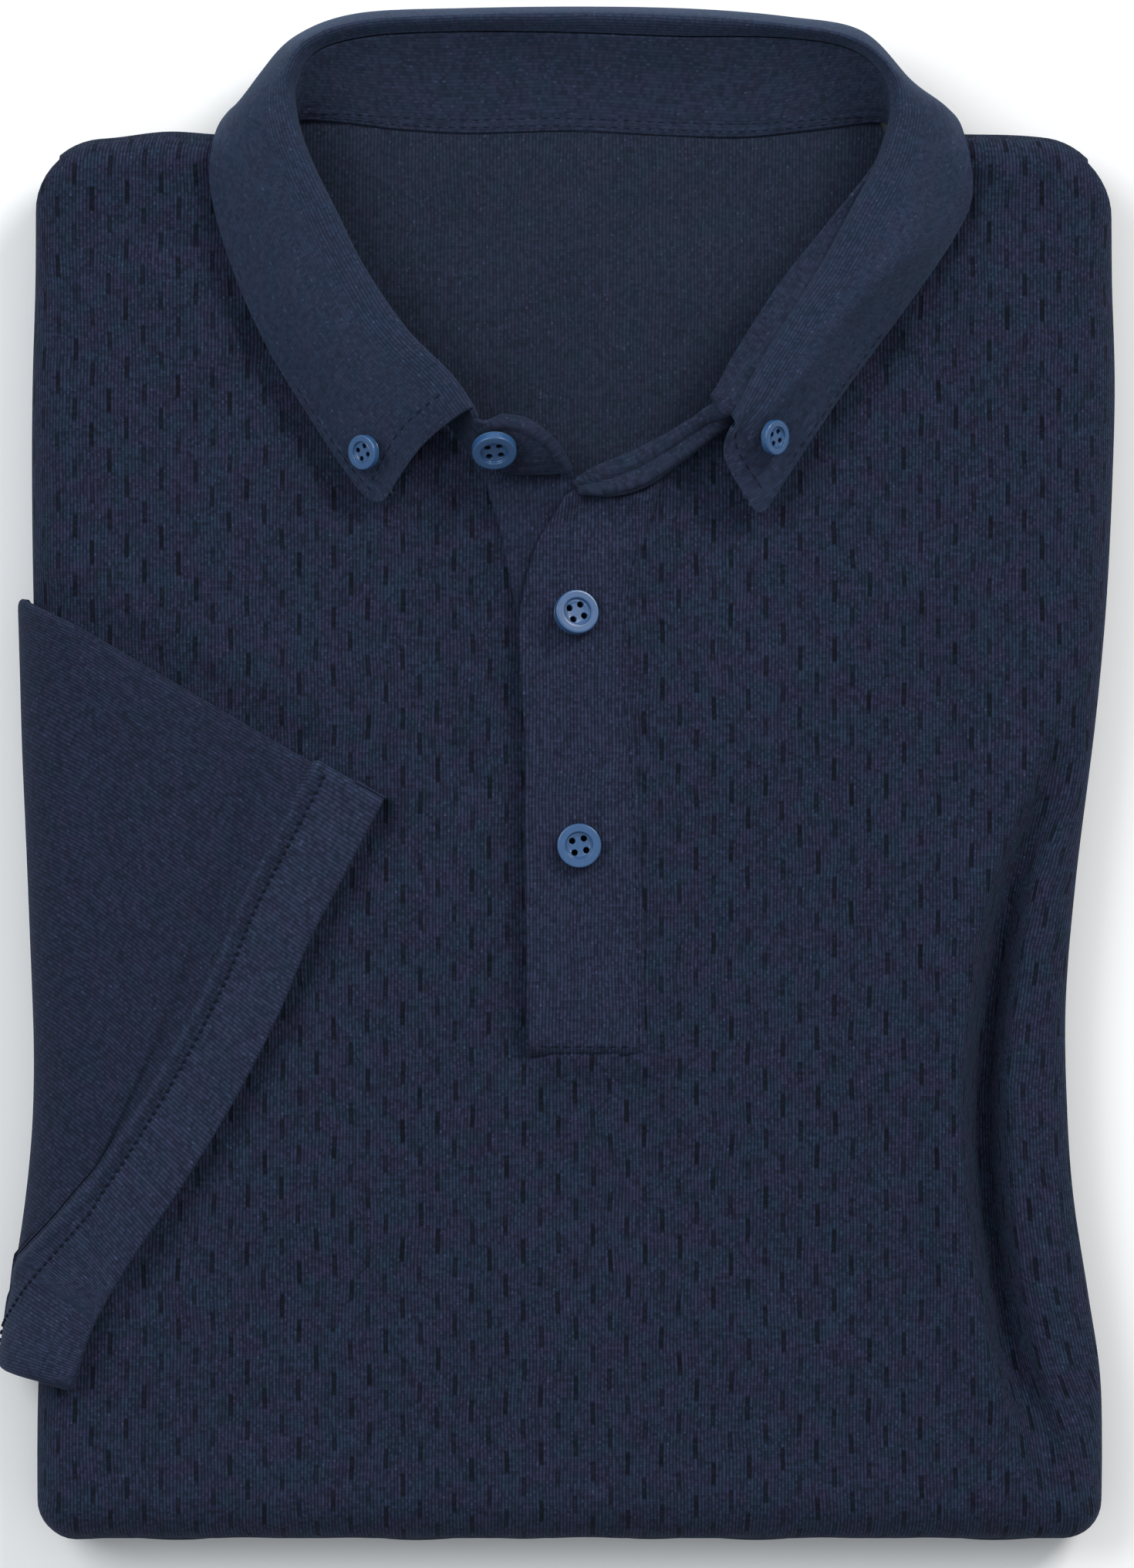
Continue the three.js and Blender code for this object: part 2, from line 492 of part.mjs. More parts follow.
function backPanel() {
  const sheet = new Sheet();
  const nearEdge = (x, y) => 1 - step(outlineDistance(x, y), 0, 6);
  const nearPoint = (y) => 1 - step(y, 62, 84);
  const drop = (x, y) => CLOTH + 0.9 + nearEdge(x, y) + 0.7 * nearPoint(y);
  const grid = [];
  for (let i = 0; i <= BACK_COLUMNS; i += 1) {
    const x = mix(...BACK_SIDES, i / BACK_COLUMNS);
    const inNeck = x > NECK_LEFT_X + 3 && x < NECK_RIGHT_X - 4;
    const low = inNeck ? Math.min(frontNeck(x) - BACK_OVERLAP, BACK_LOW_Y) : BACK_LOW_Y;
    const side = Math.min(x - leftEdge(BACK_LOW_Y), rightEdge(BACK_LOW_Y) - x);
    const shoulder = shoulderLine(x) - cornerPull(side, SHOULDER_CORNER);
    const high = inNeck ? read(BACK_NECK, 'x', x, 'y') - SEAM_GAP : shoulder;
    const rows = BACK_ROWS.map((share) => mix(low, high, share));
    grid.push(rows.map((y) => [x, y, layerHeight(x, y, 0, drop(x, y), 1)]));
  }
  sheet.grid(grid);
  addPiece('back_panel', sheet.wall(CLOTH), COLOURS.body, 0.9);
}

// Levels down the edge of the body folded in under the front and back, which draw the edges of its
// layers as lobes along the sides and shoulders. Each row says how far the edge stands in (or, below
// zero, out) from the top face's rim along the sides and along the shoulders.
const HIDDEN_LEVELS = [
  { z: 13.6, side: 0.0, shoulder: 0.0 },
  { z: 12.8, side: 0.0, shoulder: -3.0 },
  { z: 11.2, side: 0.0, shoulder: -3.8 },
  { z: 9.6, side: 0.0, shoulder: -2.6 },
  { z: 8.2, side: 0.0, shoulder: -3.8 },
  { z: 6.3, side: 0.0, shoulder: -2.8 },
  { z: 5.5, side: -3.6, shoulder: -3.8 },
  { z: 4.4, side: -4.4, shoulder: -4.2 },
  { z: 3.3, side: -3.2, shoulder: -3.2 },
  { z: 2.2, side: -4.2, shoulder: -4.2 },
  { z: 0.9, side: -3.9, shoulder: -3.9 },
  { z: 0.0, side: -2.8, shoulder: -2.8 },
];
const HIDDEN_INSET = 5; // rim of the top face, in from the outline
const HIDDEN_NEAR_SIDE = [0, 0.01, 0.028, 0.06]; // columns stand closer at the corners
const HIDDEN_COLUMNS = [
  ...HIDDEN_NEAR_SIDE,
  0.14, 0.24, 0.34, 0.44, 0.56, 0.66, 0.76, 0.86,
  ...HIDDEN_NEAR_SIDE.map((at) => 1 - at).reverse(),
];
const HIDDEN_WIDTH = 266; // of the top face
const HIDDEN_ROWS = 15;
const HIDDEN_CLEAR = 2.3; // how far its top face lies under the front panel's outer face
const HIDDEN_UNDER_BACK = 3.0; // and how much further where the back panel lies between them

// Everything folded in: one rounded body, flat where it lies on the table
function foldedLayers() {
  const sheet = new Sheet();
  const inner = (y) => [leftEdge(y) + HIDDEN_INSET, rightEdge(y) - HIDDEN_INSET];
  const across = HIDDEN_COLUMNS.length - 1;
  const up = HIDDEN_ROWS;
  const grid = [];
  for (let i = 0; i <= across; i += 1) {
    const share = HIDDEN_COLUMNS[i];
    const column = [];
    const place = (y) => mix(...inner(y), share);
    const side = Math.min(share, 1 - share) * HIDDEN_WIDTH;
    const bottom = BOTTOM_Y + HIDDEN_INSET + cornerPull(side, BOTTOM_CORNER - HIDDEN_INSET);
    const top = shoulderLine(place(160)) - HIDDEN_INSET - cornerPull(side, SHOULDER_CORNER - HIDDEN_INSET);
    for (let j = 0; j <= up; j += 1) {
      const y = mix(bottom, top, j / up);
      const x = place(y);
      const drop = HIDDEN_CLEAR + HIDDEN_UNDER_BACK * step(y, 20, 50);
      column.push([x, y, layerHeight(x, y, HIDDEN_CLEAR, drop, 1)]);
    }
    grid.push(column);
  }
  const index = sheet.grid(grid);
  const topRow = index.slice(1, across).map((column) => column[up]).reverse();
  const rim = rimOf(index).concat(topRow);
  let upper = rim;
  for (const level of HIDDEN_LEVELS) {
    const lower = rimLevel(sheet, rim, true, 14, (low, high) => {
      const edge = mix(level.side, level.shoulder, high);
      return { inset: mix(edge, 0.8, low), z: level.z };
    });
    joinLevels(sheet, upper, lower, true);
    upper = lower;
  }
  const outline = upper.map((i) => new THREE.Vector2(sheet.points[i][0], sheet.points[i][1]));
  for (const face of THREE.ShapeUtils.triangulateShape(outline, [])) {
    const [a, b, c] = face.map((k) => upper[k]);
    const turn = (sheet.points[b][0] - sheet.points[a][0]) * (sheet.points[c][1] - sheet.points[a][1])
      - (sheet.points[c][0] - sheet.points[a][0]) * (sheet.points[b][1] - sheet.points[a][1]);
    sheet.faces.push(turn > 0 ? [a, c, b] : [a, b, c]);
  }
  addPiece('folded_layers', solid(sheet.points, sheet.faces), COLOURS.body, 0.9);
}

// The leaf turns over its roll from the groove to the free edge
const LEAF_LINES = ['groove', 'crest', 'middle', 'edge'].map((line) => COLLAR.map((row) => row[line]));
const leafPoint = (station, at) => pointAlong(LEAF_LINES.map((line) => pointAlong(line, station)), at);

function collarLeaf() {
  const sheet = new Sheet();
  const grid = [];
  for (let i = 0; i <= 2 * (COLLAR.length - 1); i += 1) {
    grid.push([0, 0.5, 0.8, 1.1, 1.5, 2, 2.5, 3].map((at) => leafPoint(i / 2, at)));
  }
  sheet.grid(grid);
  addPiece('collar_leaf', sheet.wall(LEAF_WALL), COLOURS.leaf, 0.85);
}

// The stand rises from the neckline to the groove and runs on past the leaf at both front ends
function collarStand() {
  const sheet = new Sheet();
  const rows = [
    ...TAB_END,
    ...COLLAR.map((row) => ({ top: row.groove, crest: row.crest, neck: row.neck, sag: row.sag })),
    ...LOOSE_END,
  ];
  const stations = 2 * (rows.length - 1);
  const tops = rows.map((row) => row.top);
  const necks = rows.map((row) => row.neck);
  const sags = rows.map((row) => [0, 0, row.sag]);
  // Where the stand leans out under the leaf it starts lower, clear of the leaf's own wall
  const startOf = (at, top, neck) => {
    const row = rows[Math.round(at)];
    if (!row.crest) return 0;
    const out = new THREE.Vector2(row.crest[0] - row.top[0], row.crest[1] - row.top[1]).normalize();
    const lean = (neck.x - top.x) * out.x + (neck.y - top.y) * out.y;
    return 1.1 + Math.min(Math.max(lean / top.distanceTo(neck), 0) * 4, 1.4);
  };
  const grid = [];
  for (let i = 0; i <= stations; i += 1) {
    const top = new THREE.Vector3(...pointAlong(tops, i / 2));
    const neck = new THREE.Vector3(...pointAlong(necks, i / 2));
    const sag = pointAlong(sags, i / 2)[2];
    const length = top.distanceTo(neck);
    const start = startOf(i / 2, top, neck) / length;
    grid.push([0, 0.25, 0.5, 0.75, 1].map((share) => {
      const t = mix(start, 1 - Math.min(SEAM_GAP / length, 0.2), share);
      const p = top.clone().lerp(neck, t);
      p.z -= 4 * sag * t * (1 - t);
      return p.toArray();
    }));
  }
  sheet.grid(grid.reverse());
  addPiece('collar_stand', sheet.wall(STAND_WALL), COLOURS.stand, 0.9);
}

// Both placket strips follow the front, one on the other
function placket(name, leftOf, rightOf, lift, wall) {
  const sheet = new Sheet();
  const grid = [];
  const count = 18;
  for (let i = 0; i <= 4; i += 1) {
    const column = [];
    for (let j = 0; j <= count; j += 1) {
      const y = mix(PLACKET[PLACKET.length - 1].y, PLACKET[0].y, j / count);
      const x = mix(leftOf(y), rightOf(y), i / 4);
      column.push([x, y, frontHeight(x, y) + lift + wall]);
    }
    grid.push(column);
  }
  sheet.grid(grid);
  addPiece(name, sheet.wall(wall), COLOURS.body, 0.9);
}

// A point at a height over the front panel's outer face, square to it where the side rolls down
const TUCK_CLOSE = 0.3; // share of that height lost where the sleeve is tucked in under the side
function overFront(from, y, height) {
  const left = leftEdge(y);
  if (from < 0) {
    const tucked = Math.min(from / TURNS[0], 1);
    return [left - height * (1 - TUCK_CLOSE * tucked * tucked), y, SIDE_EDGE + from];
  }
  if (from >= SIDE_ROLL) return [left + from, y, frontHeight(left + from, y) + height];
  const along = from / SIDE_ROLL;
  const roll = Math.sqrt(1 - (1 - along) ** 2);
  const rise = crown(left + from, y, 0) - SIDE_EDGE;
  const out = new THREE.Vector2(-(1 - along) / SIDE_ROLL, roll / rise).normalize().multiplyScalar(height);
  return [left + from + out.x, y, SIDE_EDGE + rise * roll + out.y];
}

// The flattened sleeve: rings round it, from the tucked-in end to the hem, the upper layer over the
// lower. Rings stand close together where the sleeve turns the bundle's rolled edge.
const RING = [0, 0.015, 0.06, 0.18, 0.34, 0.48, 0.58, 0.65, 0.71, 0.76, 0.81, 0.86, 0.91, 0.96, 0.99, 1];
const TURNS = [-6.5, -3, 0, 0.7, 2.6, 6.2, 12]; // distances in from the bundle's edge
const SLEEVE_RINGS = 9;
const HEM_RINGS = 6;
const SLEEVE_WIDTH = 171; // laid flat
function sleevePoint(row, ring, inHem, upper, shrink) {
  const rim = shrink / SLEEVE_WIDTH;
  const at = mix(rim, 1 - rim, row) * (SLEEVE.length - 1);
  const [hemX, hemY, y] = pointAlong(SLEEVE.map((line) => [line.hemX, line.hemY, line.y]), at);
  const [band, full] = pointAlong(SLEEVE.map((line) => [line.band, line.full, 0]), at);
  const length = Math.hypot(leftEdge(y) - hemX, y - hemY);
  const across = hemX - leftEdge(y);
  const ridge = across * (1 - (band + 1.3 * SEAM_GAP) / length);
  const end = Math.min(TURNS[0], ridge - 4);
  let reach = mix(across * (1 - band / length), across, ring / HEM_RINGS);
  if (!inHem) {
    reach = mix(end, ridge, ring / SLEEVE_RINGS);
    if (ring < TURNS.length) reach = Math.min(reach, Math.max(TURNS[ring], end));
    if (ring === 0) reach = end;
  }
  const from = length * (1 - reach / across);
  const px = mix(hemX, leftEdge(y), from / length);
  const py = mix(hemY, y, from / length);
  const round = Math.sqrt(1 - (1 - Math.min(Math.min(row, 1 - row) / 0.03, 1)) ** 2);
  const whole = mix(full, SLEEVE_FULL + (inHem ? HEM_EXTRA : 0), step(reach, 0, 16));
  const half = Math.max((whole / 2) * round - shrink * 0.9, 0.05);
  const lift = mix(SLEEVE_TURN_LIFT + (inHem ? 0.4 : 0), SLEEVE_LIFT, step(reach, 7, 16));
  // Beyond the bundle's edge the top of the sleeve runs straight in and the rest keeps its slant
  const level = py > y ? mix(y, py, step(row, 0, 0.2)) : py;
  return overFront(px - leftEdge(py), level, lift + whole / 2 + (upper ? half : -half));
}

function sleeveRing(ring, inHem, shrink) {
  return RING.map((row) => sleevePoint(row, ring, inHem, true, shrink))
    .concat(RING.slice(1, -1).reverse().map((row) => sleevePoint(row, ring, inHem, false, shrink)));
}

function tubeWall(outer, inner) {
  const points = [];
  const number = (rings) => rings.map((ring) => ring.map((p) => points.push(p) - 1));
  const out = number(outer);
  const into = number(inner);
  const faces = [];
  const band = (a, b) => {
    for (let k = 0; k < a.length; k += 1) {
      const next = (k + 1) % a.length;
      faces.push([a[k], b[k], b[next]], [a[k], b[next], a[next]]);
    }
  };
  for (let i = 0; i + 1 < out.length; i += 1) {
    band(out[i], out[i + 1]);
    band(into[i + 1], into[i]);
  }
  band(into[0], out[0]);
  band(out[out.length - 1], into[into.length - 1]);
  return solid(points, faces);
}

function sleevePiece(name, count, inHem) {
  const rings = (shrink) => Array.from({ length: count + 1 }, (_, ring) => sleeveRing(ring, inHem, shrink));
  addPiece(name, tubeWall(rings(0), rings(SLEEVE_WALL)), COLOURS.sleeve, 0.9);
}

// The leaf's upper face at a place in plan, found by walking over it
function leafHeight(x, y) {
  let best = { away: Infinity, z: 0 };
  for (let station = 0; station <= COLLAR.length - 1; station += 0.05) {
    for (let at = 1; at <= 3; at += 0.05) {
      const p = leafPoint(station, at);
      const away = Math.hypot(p[0] - x, p[1] - y);
      if (away < best.away) best = { away, z: p[2] };
    }
  }
  return best.z;
}

function manifoldOf(geometry) {
  const plain = geometry.clone();
  plain.deleteAttribute('normal');
  plain.deleteAttribute('uv');
  const merged = mergeVertices(plain, 1e-4);
  const vertProperties = Float32Array.from(merged.attributes.position.array);
  const triVerts = Uint32Array.from(merged.index.array);
  return new wasm.Manifold(new wasm.Mesh({ numProp: 3, vertProperties, triVerts }));
}

const ROUND_SIDES = 16;
const HOLE_SIDES = 5;

// A turned button with a raised rim, a dished middle and four thread holes
function button({ name, size, x, y, on, off, leanX, leanY, turn }) {
  const r = size / 2;
  const high = size * 0.21;
  const outline = [
    [0, 0], [r - 0.4, 0], [r, 0.5], [r, high * 0.6], [r - 0.35, high * 0.92], [r - 0.9, high],
    [r * 0.64, high * 0.9], [r * 0.52, high * 0.62], [0, high * 0.58],
  ];
  const turned = new THREE.LatheGeometry(outline.map(([a, b]) => new THREE.Vector2(a, b)), ROUND_SIDES);
  turned.rotateX(Math.PI / 2);
  let body = manifoldOf(turned);
  for (let k = 0; k < 4; k += 1) {
    const hole = new THREE.CylinderGeometry(size * 0.065, size * 0.065, high * 3, HOLE_SIDES);
    hole.rotateX(Math.PI / 2);
    const angle = (Math.PI / 2) * k + THREE.MathUtils.degToRad(turn + 45);
    hole.translate(size * 0.19 * Math.cos(angle), size * 0.19 * Math.sin(angle), 0);
    body = body.subtract(manifoldOf(hole));
  }
  const { vertProperties, triVerts } = body.getMesh();
  const geometry = new THREE.BufferGeometry();
  geometry.setAttribute('position', new THREE.BufferAttribute(Float32Array.from(vertProperties), 3));
  geometry.setIndex(Array.from(triVerts));
  geometry.computeVertexNormals();
  const mesh = addPiece(name, geometry, COLOURS.button, 0.3);
  const placketTop = frontHeight(x, y) + 2 * SEAM_GAP + UNDER_PLACKET_WALL + PLACKET_WALL;
  const seats = { placket: placketTop, tab: TAB_BUTTON_HEIGHT, leaf: on === 'leaf' ? leafHeight(x, y) : 0 };
  mesh.position.set(x, y, seats[on] + off);
  mesh.rotation.set(THREE.MathUtils.degToRad(-leanY), THREE.MathUtils.degToRad(leanX), 0);
}

foldedLayers();
backPanel();
frontPanel();
placket('placket_under', (y) => read(PLACKET, 'y', y, 'under'), (y) => read(PLACKET, 'y', y, 'right') - 3,
  SEAM_GAP, UNDER_PLACKET_WALL);
placket('placket_top', (y) => read(PLACKET, 'y', y, 'left'), (y) => read(PLACKET, 'y', y, 'right'),
  2 * SEAM_GAP + UNDER_PLACKET_WALL, PLACKET_WALL);
collarStand();
collarLeaf();
sleevePiece('sleeve', SLEEVE_RINGS, false);
sleevePiece('sleeve_hem', HEM_RINGS, true);
BUTTONS.forEach(button);

export default shirt;
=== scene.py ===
"""The looks of a folded knit polo shirt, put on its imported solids.

The shirt lies on its back, its collar towards +Y. Tables and shapes are in millimetres, as the shirt
was measured, and each mesh is scaled to metres as it is made. Left and right in the names of pieces
are the wearer's. In those of sizes they are as seen from above, with the collar at the top.
"""

import bpy
import numpy as np
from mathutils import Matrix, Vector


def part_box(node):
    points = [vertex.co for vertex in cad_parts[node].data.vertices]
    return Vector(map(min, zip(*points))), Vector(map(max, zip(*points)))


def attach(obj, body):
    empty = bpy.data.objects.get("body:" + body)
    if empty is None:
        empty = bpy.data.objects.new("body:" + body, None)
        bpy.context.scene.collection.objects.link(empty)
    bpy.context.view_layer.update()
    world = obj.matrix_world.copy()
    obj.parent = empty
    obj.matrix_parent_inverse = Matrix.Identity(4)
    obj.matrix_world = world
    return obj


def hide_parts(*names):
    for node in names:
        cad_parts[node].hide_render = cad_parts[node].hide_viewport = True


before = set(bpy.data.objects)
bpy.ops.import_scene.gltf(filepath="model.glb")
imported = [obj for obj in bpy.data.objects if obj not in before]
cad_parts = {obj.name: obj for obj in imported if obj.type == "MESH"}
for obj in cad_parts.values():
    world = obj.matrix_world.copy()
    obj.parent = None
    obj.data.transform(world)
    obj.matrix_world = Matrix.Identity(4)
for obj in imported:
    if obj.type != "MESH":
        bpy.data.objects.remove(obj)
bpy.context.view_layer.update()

# Folded layers
# The other sleeve, both sides and the lower half of the shirt are folded in behind the front. They
# are the same soft cotton knit, lying flat on each other, and only their rounded edges show.
MM = 0.001
BUNDLE_TOP = 24.0
SIDE_ROLL = 12.0
SIDE_EDGE = 13.0
SHOULDER_EDGE = 16.0
BOTTOM_Y = -198.4
BOTTOM_CORNER = 10.0
SHOULDER_CORNER = 17.0
NECK_LEFT_X, NECK_RIGHT_X = -70.0, 88.0
LAYER_INSET = 5.0


def columns(names, *rows):
    """A table with named columns: one array for each name, read down the rows."""
    return dict(zip(names.split(), np.array(rows, float).T))


# The bundle's outline from above, down its sides and across its shoulders
SIDES = columns(
    "y left right",
    (-198, -134.9, 140.6),
    (-173, -135.0, 140.9),
    (-155, -134.6, 140.3),
    (-135, -133.4, 137.3),
    (-110, -132.0, 133.5),
    (-88, -131.4, 131.9),
    (-60, -132.0, 131.5),
    (-28, -133.2, 134.1),
    (14, -135.0, 139.3),
    (45, -136.0, 142.1),
    (78, -136.4, 143.7),
    (102, -136.2, 144.2),
    (130, -135.4, 143.4),
    (166, -135.0, 142.9),
)
SHOULDER = columns(
    "x y",
    (-136, 163.2),
    (-116, 164.2),
    (-101, 165.9),
    (-86, 165.1),
    (-30, 166.0),
    (40, 166.0),
    (104, 165.2),
    (123, 164.6),
    (144, 161.5),
)
# The long fold down the wearer's left side: where its ridge and trough run, how deep the trough is and
# how high the ridge stands
SIDE_FOLD = columns(
    "y ridge trough depth lift",
    (-198, 118, 126, 0.0, 0.0),
    (-172, 116, 124, 4.6, 0.6),
    (-150, 110, 117, 10.0, 1.8),
    (-118, 105, 111.5, 13.0, 2.8),
    (-88, 103, 109.5, 14.0, 3.1),
    (-60, 105, 111.5, 13.0, 2.9),
    (-30, 110, 117, 10.0, 2.2),
    (0, 119, 128, 4.4, 0.9),
    (22, 124, 132, 0.0, 0.0),
    (166, 124, 132, 0.0, 0.0),
)
TROUGH_INNER_HALF = 6.8
TROUGH_OUTER_HALF = 9.5
TROUGH_BANK = 0.2
RIDGE_HALF = 12.0
# Levels down the layered edge, and how far each lies within the line that runs LAYER_INSET in from the
# outline, at the sides and at the shoulders. It dips in between each two layers.
EDGE_LEVELS = columns(
    "z side shoulder",
    (13.6, 0.0, 0.0),
    (12.8, 0.0, -3.0),
    (11.2, 0.0, -3.9),
    (9.8, 0.0, -2.4),
    (9.4, 0.0, -2.4),
    (8.0, 0.0, -4.0),
    (6.6, 0.0, -3.2),
    (5.9, -2.4, -2.6),
    (5.3, -3.8, -4.0),
    (4.4, -4.5, -4.4),
    (3.5, -3.9, -3.4),
    (3.1, -2.9, -3.0),
    (2.7, -3.6, -3.8),
    (1.8, -4.4, -4.4),
    (0.8, -4.1, -4.2),
    (0.2, -3.4, -3.4),
    (0.0, -2.6, -2.6),
)


def read(table, along, at, column):
    """A column's value at a place along another one, on a cubic that keeps (b[i+1]-b[i-1]) /
    (a[i+1]-a[i-1]) as its slope at row i."""
    a, b = table[along], table[column]
    if a[-1] < a[0]:
        a, b = a[::-1], b[::-1]
    rows = np.arange(len(a))
    before, after = np.maximum(rows - 1, 0), np.minimum(rows + 1, len(a) - 1)
    slope = (b[after] - b[before]) / (a[after] - a[before])
    i = np.clip(np.searchsorted(a, at, side="right") - 1, 0, len(a) - 2)
    run = a[i + 1] - a[i]
    t = np.clip((at - a[i]) / run, 0, 1)
    rise = (b[i + 1] - b[i]) * t * t * (3 - 2 * t)
    return b[i] + rise + t * (1 - t) ** 2 * run * slope[i] - t * t * (1 - t) * run * slope[i + 1]


def ramp(value, low, high):
    """0 below low, 1 above high and t*t*(3-2t) between them."""
    t = np.clip((value - low) / (high - low), 0, 1)
    return t * t * (3 - 2 * t)


def swell(distance, half):
    """(1 + cos(pi d/half)) / 2 within the half width, else 0."""
    return np.where(np.abs(distance) < half, (1 + np.cos(np.pi * distance / half)) / 2, 0)


def left_edge(y):
    """The bundle's edge on the wearer's right, seen from above."""
    return read(SIDES, "y", y, "left")


def right_edge(y):
    """The bundle's edge on the wearer's left, seen from above."""
    return read(SIDES, "y", y, "right")


def corner_pull(side, radius):
    """How far a corner of that radius holds an end edge back: r - sqrt(r*r - (r-side)^2)."""
    inside = np.maximum(radius**2 - np.maximum(radius - side, 0) ** 2, 0)
    return radius - np.sqrt(inside)


def outline_distance(x, y):
    """How far a place lies in from the outline, whose four corners are arcs."""
    side = np.minimum(x - left_edge(y), right_edge(y) - x)
    in_neck = ramp(x, NECK_LEFT_X - 12, NECK_LEFT_X + 4) * (1 - ramp(x, NECK_RIGHT_X - 4, NECK_RIGHT_X + 12))
    radius = np.where(y < 0, BOTTOM_CORNER, SHOULDER_CORNER)
    end = np.minimum(y - BOTTOM_Y, read(SHOULDER, "x", x, "y") - y + in_neck * SIDE_ROLL)
    round_corner = radius - np.hypot(radius - side, radius - end)
    return np.where((side < radius) & (end < radius), round_corner, np.minimum(side, end))


def crown(x, y, broad):
    """Height of the bundle before its edges roll off: its flat top less the long side fold's hollow,
    plus the ridge beside it. broad is 1 for a hidden layer, whose fold is wider and softer."""
    ridge, trough, depth, lift = (read(SIDE_FOLD, "y", y, c) for c in ("ridge", "trough", "depth", "lift"))
    half = np.where(x < trough, TROUGH_INNER_HALF, TROUGH_OUTER_HALF) + broad * 9
    hollow = depth * np.maximum(swell(x - trough, half), np.where(x > trough, TROUGH_BANK, 0))
    return BUNDLE_TOP - hollow - broad * depth * 0.1 + (1 - broad) * lift * swell(x - ridge + 3, RIDGE_HALF)


def layer_height(x, y, inset, drop, broad):
    """Height of a layer: its edge height plus a quarter ellipse, sqrt(1-(1-t)^2), up to its crown."""
    along = np.clip((outline_distance(x, y) - inset) / (SIDE_ROLL - inset), 0, 1)
    roll = np.sqrt(1 - (1 - along) ** 2)
    edge = SIDE_EDGE + (SHOULDER_EDGE - SIDE_EDGE) * ramp(y, 120, 150)
    return edge + (crown(x, y, broad) - drop - edge) * roll


def corner_arc(x, y, radius, start, count=14):
    """A quarter turn about (x, y) from the start angle, against the clock."""
    angle = start + np.linspace(0, np.pi / 2, count)[:, None]
    return np.array([x, y]) + radius * np.concatenate([np.cos(angle), np.sin(angle)], 1)


def bundle_outline(inset):
    """The bundle's outline moved in: both sides, both ends and four arcs, against the clock."""
    low, high = BOTTOM_Y + inset, 163.4 - inset
    small, big = BOTTOM_CORNER - inset * 0.5, SHOULDER_CORNER - inset * 0.5
    up = np.linspace(low + small, high - big, 150)[1:-1]
    left, right = left_edge(up) + inset, right_edge(up) - inset
    across = np.linspace(left_edge(low) + inset + small, right_edge(low) - inset - small, 110)[1:-1]
    back = np.linspace(right_edge(high) - inset - big, left_edge(high) + inset + big, 110)[1:-1]
    top = read(SHOULDER, "x", back, "y") - inset
    return np.concatenate([
        corner_arc(left_edge(low) + inset + small, low + small, small, np.pi),
        np.stack([across, np.full_like(across, low)], 1),
        corner_arc(right_edge(low) - inset - small, low + small, small, 1.5 * np.pi),
        np.stack([right, up], 1),
        corner_arc(right_edge(high) - inset - big, high - big, big, 0),
        np.stack([back, top], 1),
        corner_arc(left_edge(high) + inset + big, high - big, big, np.pi / 2),
        np.stack([left, up], 1)[::-1],
    ])


def quads(number):
    """The quads between neighbours in a grid of point numbers."""
    return np.stack([number[:-1, :-1], number[1:, :-1], number[1:, 1:], number[:-1, 1:]], -1).reshape(-1, 4)


def grid_faces(rows, row_length, closed=False):
    """Quads of a grid of points numbered row by row, the rows rings if closed."""
    number = np.arange(rows * row_length).reshape(rows, row_length)
    if closed:
        number = np.concatenate([number, number[:, :1]], 1)
    return quads(number)


def cloth_mesh(name, points, faces, uv, material):
    """A smooth mesh of points in millimetres. uv is each point's place on the flat cloth, also in
    millimetres, and is kept as the UV map that the knit follows."""
    mesh = bpy.data.meshes.new(name)
    mesh.from_pydata((points.reshape(-1, 3) * MM).tolist(), [], faces.tolist())
    mesh.polygons.foreach_set("use_smooth", np.ones(len(faces), bool))
    corners = np.zeros(len(mesh.loops), int)
    mesh.loops.foreach_get("vertex_index", corners)
    layer = mesh.uv_layers.new(name="cloth")
    layer.data.foreach_set("uv", uv.reshape(-1, 2)[corners].astype(np.float32).ravel())
    mesh.materials.append(material)
    mesh.update()
    piece = bpy.data.objects.new(name, mesh)
    bpy.context.scene.collection.objects.link(piece)
    return piece


def shader(tree, kind, *inputs, **settings):
    """A shader node. Inputs are numbers or other nodes' sockets, in the order of its own sockets."""
    made = tree.nodes.new("ShaderNode" + kind)
    for key, value in settings.items():
        setattr(made, key, value)
    for socket, value in zip(made.inputs, inputs):
        if isinstance(value, bpy.types.NodeSocket):
            tree.links.new(value, socket)
        elif value is not None:
            socket.default_value = value
    return made.outputs[0]


def maths(tree, operation, *inputs):
    """A Math node's result."""
    return shader(tree, "Math", *inputs, operation=operation)


def fade(tree, value, low, high):
    """1 below low, 0 above high, smooth between them."""
    made = tree.nodes.new("ShaderNodeMapRange")
    made.interpolation_type = "SMOOTHSTEP"
    tree.links.new(value, made.inputs["Value"])
    for socket, number in (("From Min", low), ("From Max", high), ("To Min", 1.0), ("To Max", 0.0)):
        made.inputs[socket].default_value = number
    return made.outputs[0]


def noise(tree, vector, scale, detail=2.0, roughness=0.5):
    """A smooth noise between 0 and 1 over a vector, in waves of 1/scale."""
    made = tree.nodes.new("ShaderNodeTexNoise")
    tree.links.new(vector, made.inputs["Vector"])
    made.inputs["Scale"].default_value = scale
    made.inputs["Detail"].default_value = detail
    made.inputs["Roughness"].default_value = roughness
    return made.outputs[0]


def cell(tree, across, along):
    """A number between 0 and 1 of its own for each whole step across and along."""
    place = shader(tree, "CombineXYZ", maths(tree, "FLOOR", across), maths(tree, "FLOOR", along), 0.0)
    return shader(tree, "TexWhiteNoise", place, noise_dimensions="2D")


